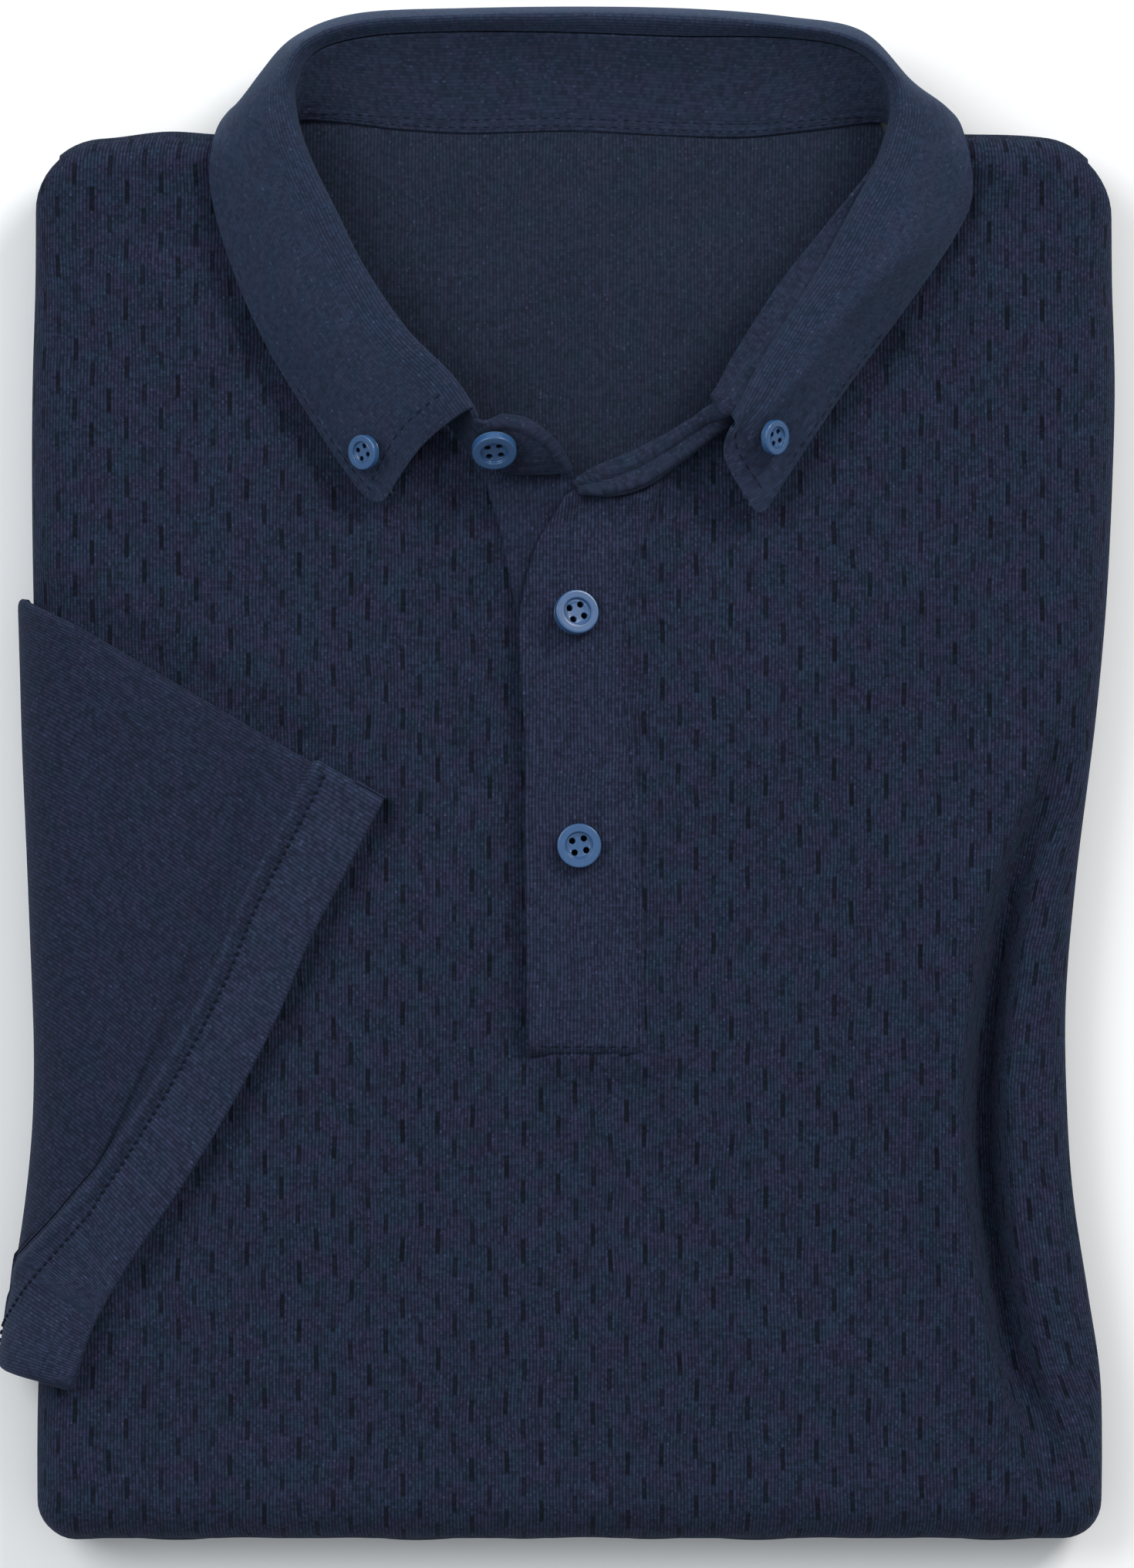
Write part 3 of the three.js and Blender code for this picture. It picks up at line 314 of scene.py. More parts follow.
def knit(name, colour, tint, wale, course, relief, dashed=False, nap=0.06, mottle=1.0, wales=0.84,
         plain_from=None):
    """Jersey in real millimetres on the cloth's UV map. Its wales are ridges, (1+cos(2 pi u/wale))/2,
    crossed by courses of V-shaped stitches, and raised by relief in all. wales is how much darker the
    colour is painted between two ridges, as painted shade in the grooves, mottle how uneven the yarn's
    tone is from stitch to stitch, and nap how brushed it is. tint is a second colour that it drifts to.
    Where dashed, short dropped stitches stand in a half-drop repeat, sunk and darkened with painted
    shade. Beyond plain_from the wales are brushed flat."""
    material = bpy.data.materials.new(name)
    material.use_nodes = True
    tree = material.node_tree
    surface = tree.nodes["Principled BSDF"]
    shader(tree, "TexCoord")
    flat = tree.nodes[-1].outputs["UV"]
    wander = noise_vector(tree, flat, 0.05)
    wander = shader(tree, "VectorMath", wander, (0.5, 0.5, 0.5), operation="SUBTRACT")
    wander = shader(tree, "VectorMath", wander, (1.4, 1.4, 0.0), operation="MULTIPLY")
    flat = shader(tree, "VectorMath", flat, wander, operation="ADD")
    shader(tree, "SeparateXYZ", flat)
    u, v = tree.nodes[-1].outputs[0], tree.nodes[-1].outputs[1]

    turn = maths(tree, "MULTIPLY", u, 2 * np.pi / wale)
    ridge = maths(tree, "MULTIPLY_ADD", maths(tree, "COSINE", turn), 0.5, 0.5)
    half_turn = maths(tree, "ABSOLUTE", maths(tree, "SINE", maths(tree, "MULTIPLY", turn, 0.5)))
    row = maths(tree, "MULTIPLY_ADD", v, 1 / course, maths(tree, "MULTIPLY", half_turn, 0.35))
    chevron = maths(tree, "COSINE", maths(tree, "MULTIPLY", row, 2 * np.pi))
    column = maths(tree, "MULTIPLY_ADD", u, 1 / wale, 0.5)
    stitch = cell(tree, column, row)
    streak = cell(tree, column, maths(tree, "MULTIPLY_ADD", row, 0.31, 7.3))
    yarn = noise(tree, flat, 2.4, 3.0, 0.65)
    if plain_from is not None:
        raised = fade(tree, maths(tree, "ABSOLUTE", u), plain_from, plain_from + 3.0)
        raised = maths(tree, "MULTIPLY_ADD", raised, 0.4, 0.2)
        ridge = maths(tree, "MULTIPLY_ADD", maths(tree, "SUBTRACT", ridge, 0.5), raised, 0.5)
    height = maths(tree, "MULTIPLY", ridge, maths(tree, "MULTIPLY_ADD", chevron, 0.25, 0.75))
    height = maths(tree, "MULTIPLY_ADD", stitch, 0.35, height)
    height = maths(tree, "MULTIPLY_ADD", yarn, 0.9, height)
    pucker = noise(tree, flat, 0.11, 3.0, 0.55)
    height = maths(tree, "MULTIPLY_ADD", pucker, 2.4, height)

    drift = fade(tree, noise(tree, flat, 0.13, 4.0, 0.65), 0.38, 0.62)
    mixed = shader(tree, "MixRGB", drift, (*colour, 1), (*tint, 1))
    bright = maths(tree, "MULTIPLY_ADD", stitch, 0.62 * mottle, 1.0 - 0.43 * mottle)
    bright = maths(tree, "MULTIPLY_ADD", streak, 0.2 * mottle, bright)
    fleck = maths(tree, "SUBTRACT", noise(tree, flat, 0.9, 4.0, 0.75), 0.5)
    bright = maths(tree, "MAXIMUM", maths(tree, "MULTIPLY_ADD", fleck, 0.36 * mottle, bright), 0.14)
    specks = cell(tree, maths(tree, "MULTIPLY", u, 2.1), maths(tree, "MULTIPLY", v, 1.7))
    lint = maths(tree, "GREATER_THAN", specks, 0.993)
    bright = maths(tree, "MULTIPLY_ADD", lint, 0.8, bright)
    # Painted shade: the colour is darker between the wale ridges, where shade falls in the grooves
    bright = maths(tree, "MULTIPLY", bright, maths(tree, "MULTIPLY_ADD", ridge, wales, 0.96 - wales / 2))
    if dashed:
        dash = dropped_stitches(tree, u, v, course)
        # The dropped stitches are a real pattern of openings. Their darkness here is painted shade, and they
        # are also sunk
        bright = maths(tree, "MULTIPLY", bright, maths(tree, "MULTIPLY_ADD", dash, -0.80, 1.0))
        height = maths(tree, "MULTIPLY_ADD", dash, -2.6, height)
    shade = shader(tree, "VectorMath", mixed, None, None, None, operation="SCALE")
    tree.links.new(bright, tree.nodes[-1].inputs["Scale"])
    tree.links.new(shade, surface.inputs["Base Color"])

    bump = tree.nodes.new("ShaderNodeBump")
    bump.inputs["Distance"].default_value = relief * MM
    tree.links.new(height, bump.inputs["Height"])
    tree.links.new(bump.outputs[0], surface.inputs["Normal"])
    surface.inputs["Roughness"].default_value = 0.95
    surface.inputs["Specular IOR Level"].default_value = 0.1
    surface.inputs["Sheen Weight"].default_value = nap
    surface.inputs["Sheen Roughness"].default_value = 0.5
    surface.inputs["Sheen Tint"].default_value = (0.35, 0.5, 0.75, 1)
    return material


def noise_vector(tree, vector, scale):
    """Three smooth noises at once, as a vector."""
    noise(tree, vector, scale, 1.0)
    return tree.nodes[-1].outputs["Color"]


DASH_COLUMN = 4.45
DASH_DROP = 6.6
DASH_REPEAT = 15.2


def dropped_stitches(tree, u, v, course):
    """1 on a short upright dash, else 0: the knit sinks each dash and darkens it with painted shade. Columns
    stand DASH_COLUMN apart, each DASH_DROP lower than the one on its left, and repeat every DASH_REPEAT.
    Each dash has its own length and weight, and the courses show through it as rungs, (9+cos(2 pi
    v/course))/10."""
    column = maths(tree, "ROUND", maths(tree, "DIVIDE", u, DASH_COLUMN))
    aside = maths(tree, "ABSOLUTE", maths(tree, "MULTIPLY_ADD", column, -DASH_COLUMN, u))
    lowered = maths(tree, "MULTIPLY_ADD", column, DASH_DROP, v)
    row = maths(tree, "ROUND", maths(tree, "DIVIDE", lowered, DASH_REPEAT))
    above = maths(tree, "ABSOLUTE", maths(tree, "MULTIPLY_ADD", row, -DASH_REPEAT, lowered))
    own = shader(tree, "TexWhiteNoise", shader(tree, "CombineXYZ", column, row, 0.0), noise_dimensions="2D")
    reach = maths(tree, "MULTIPLY_ADD", own, -0.9, above)
    upright = fade(tree, reach, 1.7, 2.7)
    narrow = fade(tree, aside, 0.26, 0.70)
    weight = maths(tree, "MULTIPLY_ADD", own, 0.38, 0.62)
    rungs = maths(tree, "COSINE", maths(tree, "MULTIPLY", v, 2 * np.pi / course))
    rungs = maths(tree, "MULTIPLY_ADD", rungs, 0.1, 0.9)
    dash = maths(tree, "MULTIPLY", maths(tree, "MULTIPLY", upright, narrow), weight)
    return maths(tree, "MULTIPLY", dash, rungs)


NAVY = (0.0113, 0.0197, 0.0380)
INDIGO = (0.0153, 0.0169, 0.0378)
pointelle = knit("pointelle_knit", NAVY, INDIGO, wale=0.89, course=0.80, relief=0.11, dashed=True)

low_points = bundle_outline(LAYER_INSET)
ahead = np.roll(low_points, -1, 0) - np.roll(low_points, 1, 0)
ahead /= np.linalg.norm(ahead, axis=1, keepdims=True)
outwards = np.stack([ahead[:, 1], -ahead[:, 0]], 1)
near_shoulder = ramp(low_points[:, 1], 151, 157)
near_bottom = 1 - ramp(low_points[:, 1], BOTTOM_Y + 14, BOTTOM_Y + 26)
# Rings from the spine under the front out to the edge, down its layers, and in again on the table
spine = np.stack([low_points[:, 0] * 0, np.clip(low_points[:, 1], -80, 60)], 1)
rings = []
for share in np.linspace(1, 0, 14):
    ring = spine + (low_points - spine) * (1 - share)
    back_drop = 6.0 + 2.3 * ramp(ring[:, 1], 40, 66)
    rings.append(np.column_stack([ring, layer_height(ring[:, 0], ring[:, 1], 2.3, back_drop, 1)]))
for z, side, shoulder in zip(*(EDGE_LEVELS[c] for c in ("z", "side", "shoulder"))):
    inset = side + (shoulder - side) * near_shoulder
    inset = inset + (0.8 - inset) * near_bottom
    rings.append(np.column_stack([low_points - outwards * inset[:, None], np.full(len(inset), z)]))
last = rings[-1][:, :2]
for share in np.linspace(0.08, 1, 6):
    ring = last + (spine - last) * share
    rings.append(np.column_stack([ring, np.zeros(len(ring))]))
layers = np.array(rings)
travelled = np.cumsum(np.linalg.norm(low_points - np.roll(low_points, 1, 0), axis=1))
level = np.cumsum(np.r_[0, np.linalg.norm(np.diff(layers, axis=0), axis=2).mean(1)])
layer_uv = np.stack(np.broadcast_arrays(travelled[None, :], -level[:, None]), -1)
folded = cloth_mesh("folded_knit_layers", layers, grid_faces(*layers.shape[:2], closed=True), layer_uv,
                    pointelle)


def close_poles(piece):
    """Points that coincide become one, which shuts the poles, and the faces are turned outwards."""
    bpy.context.view_layer.objects.active = piece
    bpy.ops.object.select_all(action="DESELECT")
    piece.select_set(True)
    bpy.ops.object.mode_set(mode="EDIT")
    bpy.ops.mesh.select_all(action="SELECT")
    bpy.ops.mesh.remove_doubles(threshold=1e-5)
    bpy.ops.mesh.normals_make_consistent(inside=False)
    bpy.ops.object.mode_set(mode="OBJECT")


close_poles(folded)
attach(folded, "root")
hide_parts("folded_layers")

# Back panel
# The back is cut from the same yarn in plain jersey. Its inside shows within the neck, and its edge
# shows as a second layer behind the front along the shoulders. It is sewn to the collar stand.
BACK_NECK = columns(
    "x y",
    (-69.2, 165.8),
    (-65.9, 167.8),
    (-55.4, 167.2),
    (-40.5, 165.4),
    (-22.8, 164.4),
    (2.3, 165.0),
    (27.2, 163.9),
    (47.1, 163.4),
    (67.0, 165.4),
    (80.9, 167.2),
    (86.6, 165.8),
)
NECKLINE = columns(
    "x y",
    (-69.2, 165.8),
    (-69.0, 160.2),
    (-66.7, 152.4),
    (-61.9, 141.3),
    (-53.9, 125.0),
    (-42.8, 107.9),
    (-31.3, 94.6),
    (-22.1, 82.1),
    (-16.6, 79.1),
    (-11.0, 77.3),
    (-6.6, 77.1),
    (-2.3, 77.3),
    (2.9, 77.6),
    (5.3, 72.5),
    (14.6, 71.6),
    (23.1, 74.2),
    (30.7, 79.3),
    (38.6, 85.2),
    (47.0, 91.2),
    (55.5, 102.8),
    (65.2, 116.6),
    (73.6, 129.3),
    (80.4, 142.1),
    (85.8, 152.8),
    (86.8, 160.2),
)


def flat_places(points, line=None):
    """Each grid point's place on the flat cloth. Without a line, its wales run along Y: distances in X
    and Z are walked across from the middle, and in Y and Z along from it. With a line of the grid,
    whole distances are walked, and that line counts as 0."""
    middle = points.shape[0] // 2, points.shape[1] // 2 if line is None else line
    sideways, upwards = ([0, 2], [1, 2]) if line is None else ([0, 1, 2], [0, 1, 2])
    steps_across = np.linalg.norm(np.diff(points[..., sideways], axis=0), axis=2)
    steps_along = np.linalg.norm(np.diff(points[..., upwards], axis=1), axis=2)
    across = np.cumsum(np.insert(steps_across, 0, 0, axis=0), 0)
    along = np.cumsum(np.insert(steps_along, 0, 0, axis=1), 1)
    at_middle = points[middle[0], :, 0], points[:, middle[1] : middle[1] + 1, 1]
    if line is not None:
        across = np.broadcast_to(across[:, line : line + 1], across.shape)
        at_middle = 0, 0
    return np.stack([across - across[middle[0]] + at_middle[0],
                     along - along[:, middle[1] : middle[1] + 1] + at_middle[1]], -1)


def give_wall(piece, thickness):
    """A wall of that many millimetres behind the piece's outer face."""
    wall = piece.modifiers.new("wall", "SOLIDIFY")
    wall.thickness = thickness * MM
    wall.offset = -1.0
    wall.use_rim = True


INSIDE = (0.0128, 0.0198, 0.0350)
INSIDE_TINT = (0.0150, 0.0188, 0.0360)
plain_inside = knit("inside_jersey", INSIDE, INSIDE_TINT, wale=0.91, course=0.80, relief=0.06, mottle=0.7,
                    wales=0.5)

BACK_SIDES = (-129.0, 137.0)
BACK_LOW_Y = 138.0
BACK_OVERLAP = 13.5
BACK_GRID = (132, 96)
share = np.linspace(0, 1, BACK_GRID[0])
back_x = np.broadcast_to((BACK_SIDES[0] + (BACK_SIDES[1] - BACK_SIDES[0]) * share)[:, None], BACK_GRID)
in_neck = (back_x > NECK_LEFT_X + 3) & (back_x < NECK_RIGHT_X - 4)
under_front = np.minimum(read(NECKLINE, "x", back_x, "y") - BACK_OVERLAP, BACK_LOW_Y)
back_low = np.where(in_neck, under_front, BACK_LOW_Y)
from_side = np.minimum(back_x - left_edge(BACK_LOW_Y), right_edge(BACK_LOW_Y) - back_x)
shoulder_top = read(SHOULDER, "x", back_x, "y") - corner_pull(from_side, SHOULDER_CORNER)
back_high = np.where(in_neck, read(BACK_NECK, "x", back_x, "y") + 2.4, shoulder_top)
back_y = back_low + (back_high - back_low) * np.sin(np.linspace(0, np.pi / 2, BACK_GRID[1]))[None, :]
back_drop = 2.3 + (1 - ramp(outline_distance(back_x, back_y), 0, 6)) + 0.7 * (1 - ramp(back_y, 62, 84))
# It lies slack within the neck, in long shallow swells, and sinks a little towards the neck's point
slack = 0.5 * np.sin(back_x * 0.07 + back_y * 0.05) + 0.35 * np.sin(back_x * 0.13 - back_y * 0.09 + 1.7)
well = (1 - ramp(back_y, 84, 134)) * 2.9 * ramp(back_y, 62, 78)
slack = (slack - 0.9) * ramp(back_y, 60, 90) * (1 - ramp(back_y, 138, 163))
back_z = layer_height(back_x, back_y, 0, back_drop, 1) + slack - well
back_points = np.stack([back_x, back_y, back_z], -1)
back = cloth_mesh("back_inside", back_points, grid_faces(*BACK_GRID), back_points[..., :2], plain_inside)
give_wall(back, 1.0)
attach(back, "root")
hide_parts("back_panel")

# Front panel
# One piece of pointelle knit, cut across both shoulders. It rolls over the sides and the bottom fold
# of the bundle, and its neckline is sewn to the collar stand.
FRONT_SETBACK = 1.4
SHOULDER_LIFT_X = -94.0
# Creases, each along a line: half its width, and its height, which is below 0 for a trough. The first
# few are drag lines that pull on the collar and the placket, and the soft ones are slack between them.
CREASES = columns(
    "x0 y0 x1 y1 half high",
    (-101, 139, -80, 119, 5, -1.3),
    (-110, 131, -88, 108, 6, 0.8),
    (38, 60, 50, 40, 8, -1.0),
    (-27, 60, -23, 30, 7, -1.0),
    (-34, -20, -70, -90, 12, -0.7),
)
SOFT_CREASES = columns(
    "x0 y0 x1 y1 half high",
    (-99, 138, -84, 117, 2.6, -0.8),
    (-96, 126, -80, 96, 3.2, -0.6),
    (-122, 148, -106, 120, 4.0, -0.5),
    (-58, 62, -74, 30, 5.0, -0.5),
    (-48, 52, -56, 8, 6.0, 0.4),
    (58, 62, 74, 22, 5.0, -0.5),
    (44, 34, 60, -16, 7.0, 0.4),
    (84, 96, 98, 66, 4.5, -0.5),
    (104, 132, 116, 96, 6.0, 0.35),
    (122, 148, 128, 112, 5.0, -0.5),
    (112, 60, 119, 12, 5.0, -0.5),
    (96, -20, 92, -66, 7.0, 0.35),
    (92, -120, 101, -168, 5.0, -0.5),
    (70, -150, 74, -188, 7.0, 0.4),
    (40, -160, 38, -192, 5.0, -0.5),
    (12, -140, 8, -190, 7.0, 0.35),
    (-22, -150, -24, -192, 6.0, -0.5),
    (-52, -120, -60, -186, 8.0, 0.4),
    (-86, -160, -90, -192, 5.0, -0.5),
    (-118, -170, -116, -190, 5.0, 0.35),
    (30, -84, 20, -118, 6.0, -0.45),
    (-14, -84, -26, -120, 6.0, -0.4),
    (-22, 62, -20, 44, 4.0, -0.9),
    (34, 66, 44, 48, 4.5, -0.9),
    (-10, 40, -10, -72, 5.0, -3.0),
    (-25, 62, -23, -2, 7.0, -3.2),
    (46, 2, 86, 42, 13.0, 1.8),
    (92, 34, 108, -14, 8.0, -1.4),
    (-40, -40, -64, -110, 13.0, 1.2),
    (0, -100, 60, -130, 13.0, -1.2),
    (-139, 47, -66, 6, 6.0, -3.4),
    (-46, -14, -108, -132, 4.8, -3.0),
    (-32, 72, -6, 66, 4.6, -2.2),
    (34, 76, 46, 60, 4.2, -2.4),
    (-52, 72, -76, 110, 6.0, -3.2),
    (-76, 110, -90, 152, 6.0, -2.4),
    (53, 66, 82, 108, 6.0, -3.0),
    (82, 108, 106, 150, 6.0, -2.2),
)


def creased(table, x, y):
    """Heights of soft creases: along each line from 0 to 1 the sum of high * swell(distance, 2 half)."""
    total = np.zeros(np.broadcast(x, y).shape)
    for x0, y0, x1, y1, half, high in zip(*table.values()):
        dx, dy = x1 - x0, y1 - y0
        t = np.clip(((x - x0) * dx + (y - y0) * dy) / (dx * dx + dy * dy), 0, 1)
        total += high * swell(np.hypot(x - x0 - dx * t, y - y0 - dy * t), half * 2)
    return total


def front_neck(x):
    """The front's neckline in plan, just beyond the stand's seam."""
    return read(NECKLINE, "x", x, "y") + 1.5


def front_height(x, y, soft=0.8):
    """The front's outer face: the bundle's crown and creases, lifted a little along the neckline. soft
    is the share of the soft creases that shows: a strip of two or three layers bridges most of them."""
    in_neck = (x > NECK_LEFT_X) & (x < NECK_RIGHT_X)
    near = np.where(in_neck, front_neck(x) - y, np.abs(y - 160) + 4)
    along = np.clip(outline_distance(x, y) / SIDE_ROLL, 0, 1)
    roll = np.sqrt(1 - (1 - along) ** 2)
    folds = creased(CREASES, x, y) + creased(SOFT_CREASES, x, y) * soft
    return layer_height(x, y, 0, 0, 0) + folds * roll + 1.6 * (1 - ramp(near, 0, 22)) * ramp(y, 60, 84)


# The placket's edges: the under strip's left one, and the upper strip's left and right ones
PLACKET = columns(
    "y under left right",
    (79.0, -18.9, 4.6, 28.4),
    (74.6, -18.5, 2.9, 26.8),
    (70.6, -17.7, 1.0, 25.4),
    (66.0, -16.2, -1.6, 24.2),
    (61.0, -14.8, -4.6, 22.8),
    (55.0, -13.6, -6.9, 21.4),
    (47.0, -12.0, -8.9, 19.9),
    (37.0, -10.0, -10.2, 18.8),
    (24.0, -7.8, -9.7, 18.5),
    (8.0, -6.4, -8.7, 20.2),
    (-15.6, -6.0, -8.7, 21.6),
    (-47.8, -6.0, -8.3, 22.5),
    (-73.2, -6.0, -7.8, 22.8),
)
PLACKET_FOOT = -73.2
UNDER_STRIP = 1.3
UPPER_STRIP = 3.1


def seam_swell(x, y):
    """How the front is drawn up to the placket's sewn side and foot, so that it meets them flush."""
    right = read(PLACKET, "y", y, "right")
    left = read(PLACKET, "y", y, "left")
    beside = (1 - ramp(x - right, -0.5, 11)) * (x > right - 1.2)
    beside = beside * ramp(y, PLACKET_FOOT - 1, PLACKET_FOOT + 3)
    below = (1 - ramp(PLACKET_FOOT - y, -0.5, 9)) * (y < PLACKET_FOOT + 1.2)
    below = below * ramp(x, left - 4, left + 2) * (1 - ramp(x, right + 2, right + 10))
    return 1.9 * np.maximum(beside * (1 - ramp(y, 55, 72)), below)


side_steps = SIDE_ROLL * (1 - np.cos(np.linspace(0, np.pi / 2, 10)))[:-1]
spread = np.linspace(0, 1, 146)
edge_share = np.r_[np.zeros(len(side_steps)), spread, np.ones(len(side_steps))]
edge_inset = np.r_[side_steps, np.full(len(spread), SIDE_ROLL), side_steps[::-1]]


def column_x(y):
    """Where the front's columns stand at a height: set in from both edges and shared out between."""
    return (left_edge(y) + edge_inset) * (1 - edge_share) + (right_edge(y) - edge_inset) * edge_share


def side_of(y):
    """How far each column stands in from the nearer side."""
    return np.minimum(column_x(y) - left_edge(y), right_edge(y) - column_x(y))


front_low = BOTTOM_Y + corner_pull(side_of(np.full(len(edge_share), BOTTOM_Y + 5)), BOTTOM_CORNER)
across_foot = column_x(np.full(len(edge_share), BOTTOM_Y))
front_low += 0.3 * np.sin(across_foot * 0.21) + 0.25 * np.sin(across_foot * 0.083 + 1.1)
# A column's place depends on its height, so its upper end is found in rounds that close in on it
front_high = np.full(len(edge_share), 100.0)
for _ in range(24):
    at = column_x(front_high)
    setback = FRONT_SETBACK + 1.5 * swell(at - SHOULDER_LIFT_X, 9)
    edge = read(SHOULDER, "x", at, "y") - setback - corner_pull(side_of(front_high), SHOULDER_CORNER)
    neck = np.where((at > NECK_LEFT_X) & (at < NECK_RIGHT_X), front_neck(at), edge)
    front_high = front_high * 0.4 + np.minimum(edge, neck) * 0.6
FINE_ENDS = 7.5
end_steps = FINE_ENDS * (1 - np.cos(np.linspace(0, np.pi / 2, 8)))[:-1]
rows_between = np.linspace(0, 1, 190)
row_share = np.r_[np.zeros(len(end_steps)), rows_between, np.ones(len(end_steps))]
row_inset = np.r_[end_steps, np.full(len(rows_between), FINE_ENDS), end_steps[::-1]]
front_y = (front_low[:, None] + row_inset) * (1 - row_share) + (front_high[:, None] - row_inset) * row_share
front_x = np.stack([column_x(front_y[:, k]) for k in range(front_y.shape[1])], 1)
front_z = front_height(front_x, front_y) + seam_swell(front_x, front_y)
front_grid = np.stack([front_x, front_y, front_z], -1)
# Its places on the flat cloth are walked over the bundle's main form alone
front_flat = flat_places(np.stack([front_x, front_y, layer_height(front_x, front_y, 0, 0, 0)], -1))

# Below its widest line the front turns in under itself, deeper at the bottom fold than at the sides:
# how far in, and how high above the table
SKIRT_SIDE = np.array([(0.1, 11.2), (0.5, 9.4), (1.2, 8.0), (2.2, 7.0), (3.4, 6.6)])
SKIRT_FOOT = np.array([(0.1, 9.4), (0.6, 6.2), (1.8, 3.4), (3.6, 1.7), (5.6, 1.2)])
rim_rows = np.concatenate([
    np.stack([np.zeros(front_y.shape[1], int), np.arange(front_y.shape[1])[::-1]], 1),
    np.stack([np.arange(1, len(edge_share) - 1), np.zeros(len(edge_share) - 2, int)], 1),
    np.stack([np.full(front_y.shape[1], len(edge_share) - 1), np.arange(front_y.shape[1])], 1),
])
rim = front_grid[rim_rows[:, 0], rim_rows[:, 1]]
rim_flat = front_flat[rim_rows[:, 0], rim_rows[:, 1]]
rim_ahead = np.gradient(rim[:, :2], axis=0)
rim_ahead /= np.maximum(np.linalg.norm(rim_ahead, axis=1, keepdims=True), 1e-6)
inwards = np.stack([-rim_ahead[:, 1], rim_ahead[:, 0]], 1)
at_foot = (1 - ramp(rim[:, 1], BOTTOM_Y + 2, BOTTOM_Y + 14))[:, None]
skirt, skirt_flat = [], []
for side, foot in zip(SKIRT_SIDE, SKIRT_FOOT):
    inset, z = (side + (foot - side) * at_foot).T
    z = np.minimum(z, rim[:, 2] - 0.4)
    skirt.append(np.column_stack([rim[:, :2] + inwards * inset[:, None], z]))
    skirt_flat.append(rim_flat - inwards * ((SIDE_EDGE - z) + inset * 0.5)[:, None])
rim_number = rim_rows[:, 0] * front_y.shape[1] + rim_rows[:, 1]
below = front_grid.shape[0] * front_grid.shape[1] + np.arange(len(skirt) * len(rim)).reshape(len(skirt), -1)
levels = np.concatenate([rim_number[None, :], below])
front_points = np.concatenate([front_grid.reshape(-1, 3), *skirt])
front_uv = np.concatenate([front_flat.reshape(-1, 2), *skirt_flat])
front_faces = np.concatenate([grid_faces(*front_grid.shape[:2]), quads(levels)])
front = cloth_mesh("front_knit", front_points, front_faces, front_uv, pointelle)
give_wall(front, 1.2)
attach(front, "root")
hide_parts("front_panel")

# Placket strips
# Two strips close the neck opening. The under one is plain, and the upper one lies on it, sewn along
# its right side and foot and free along its left edge. Both are folded round and run into the neck seam.


def grid_normals(points):
    """Unit normals of a grid: the cross product of its two directions at each point."""
    normal = np.cross(np.gradient(points, axis=0), np.gradient(points, axis=1))
    return normal / np.maximum(np.linalg.norm(normal, axis=2, keepdims=True), 1e-9)


def walked(points, axis):
    """Distance walked along a grid's lines from their first point."""
    steps = np.linalg.norm(np.diff(points, axis=axis), axis=2)
    return np.cumsum(np.insert(steps, 0, 0, axis=axis), axis=axis)


def near_ends(count, total, near, ends):
    """Places from 0 to 1 along a line of that length, evenly spread but for a last stretch at the
    named ends, first or last, where near * (1 - cos) steps close up to the border."""
    fine = near / total * (1 - np.cos(np.linspace(0, np.pi / 2, 7)))[:-1]
    low = near / total if "first" in ends else 0.0
    high = 1 - near / total if "last" in ends else 1.0
    before, after = [fine] * ("first" in ends), [1 - fine[::-1]] * ("last" in ends)
    return np.concatenate([*before, np.linspace(low, high, count), *after])


def pressed(points, wall, free, soft):
    """Points and faces of a folded and pressed edge-to-edge piece, from the grid of its outer face.
    Towards its free borders (first, last: its outer columns; low, high: the ends of its columns) the
    two faces close on a half ellipse, wall/2 * sqrt(1-(1-d/soft)^2) at d mm from the border."""
    across, along = walked(points, 0), walked(points, 1)
    gap = np.full(across.shape, 1e3)
    for side, away in (("first", across), ("last", across[-1:] - across), ("low", along),
                       ("high", along[:, -1:] - along)):
        if side in free:
            gap = np.minimum(gap, away)
    full = np.sqrt(1 - (1 - np.minimum(gap / soft, 1)) ** 2)[..., None]
    normal = grid_normals(points) * wall / 2
    middle = points - normal
    number = np.arange(gap.size).reshape(gap.shape)
    border = np.concatenate([number[:-1, 0], number[-1, :-1], number[:0:-1, -1], number[0, :0:-1]])
    after = np.roll(border, -1)
    rim_faces = np.stack([border, border + gap.size, after + gap.size, after], 1)
    top_faces = grid_faces(*gap.shape)
    faces = np.concatenate([top_faces, top_faces[:, ::-1] + gap.size, rim_faces])
    outer, inner = middle + normal * full, middle - normal * full
    return np.concatenate([outer.reshape(-1, 3), inner.reshape(-1, 3)]), faces


def both_faces(uv):
    """The places on the flat cloth, once for each face of a pressed piece."""
    return np.concatenate([uv.reshape(-1, 2)] * 2)


PLAIN = (0.0116, 0.0177, 0.0360)
PLAIN_TINT = (0.0139, 0.0168, 0.0364)
plain_jersey = knit("plain_jersey", PLAIN, PLAIN_TINT, wale=0.98, course=0.82, relief=0.08, mottle=0.85,
                    wales=0.6)
# Painted light: a lighter copy of the front's knit, for the light that the raised upper strip catches
placket_knit_painted_light = knit("placket_knit_painted_light", (0.0146, 0.0213, 0.0428), (0.0169, 0.0198, 0.0428), wale=0.89,
                    course=0.80, relief=0.11)


def strip_grid(left, right, heads, columns_across):
    """A strip's places in plan: columns shared out between two edges of PLACKET, from its foot up to
    heads, a height for each column, in rows at t^0.9 of the way up."""
    up = np.linspace(0, 1, 170)[None, :] ** 0.9
    y = PLACKET_FOOT + (heads[:, None] - PLACKET_FOOT) * up
    share = columns_across[:, None]
    x = read(PLACKET, "y", y, left) * (1 - share) + read(PLACKET, "y", y, right) * share
    return x, y


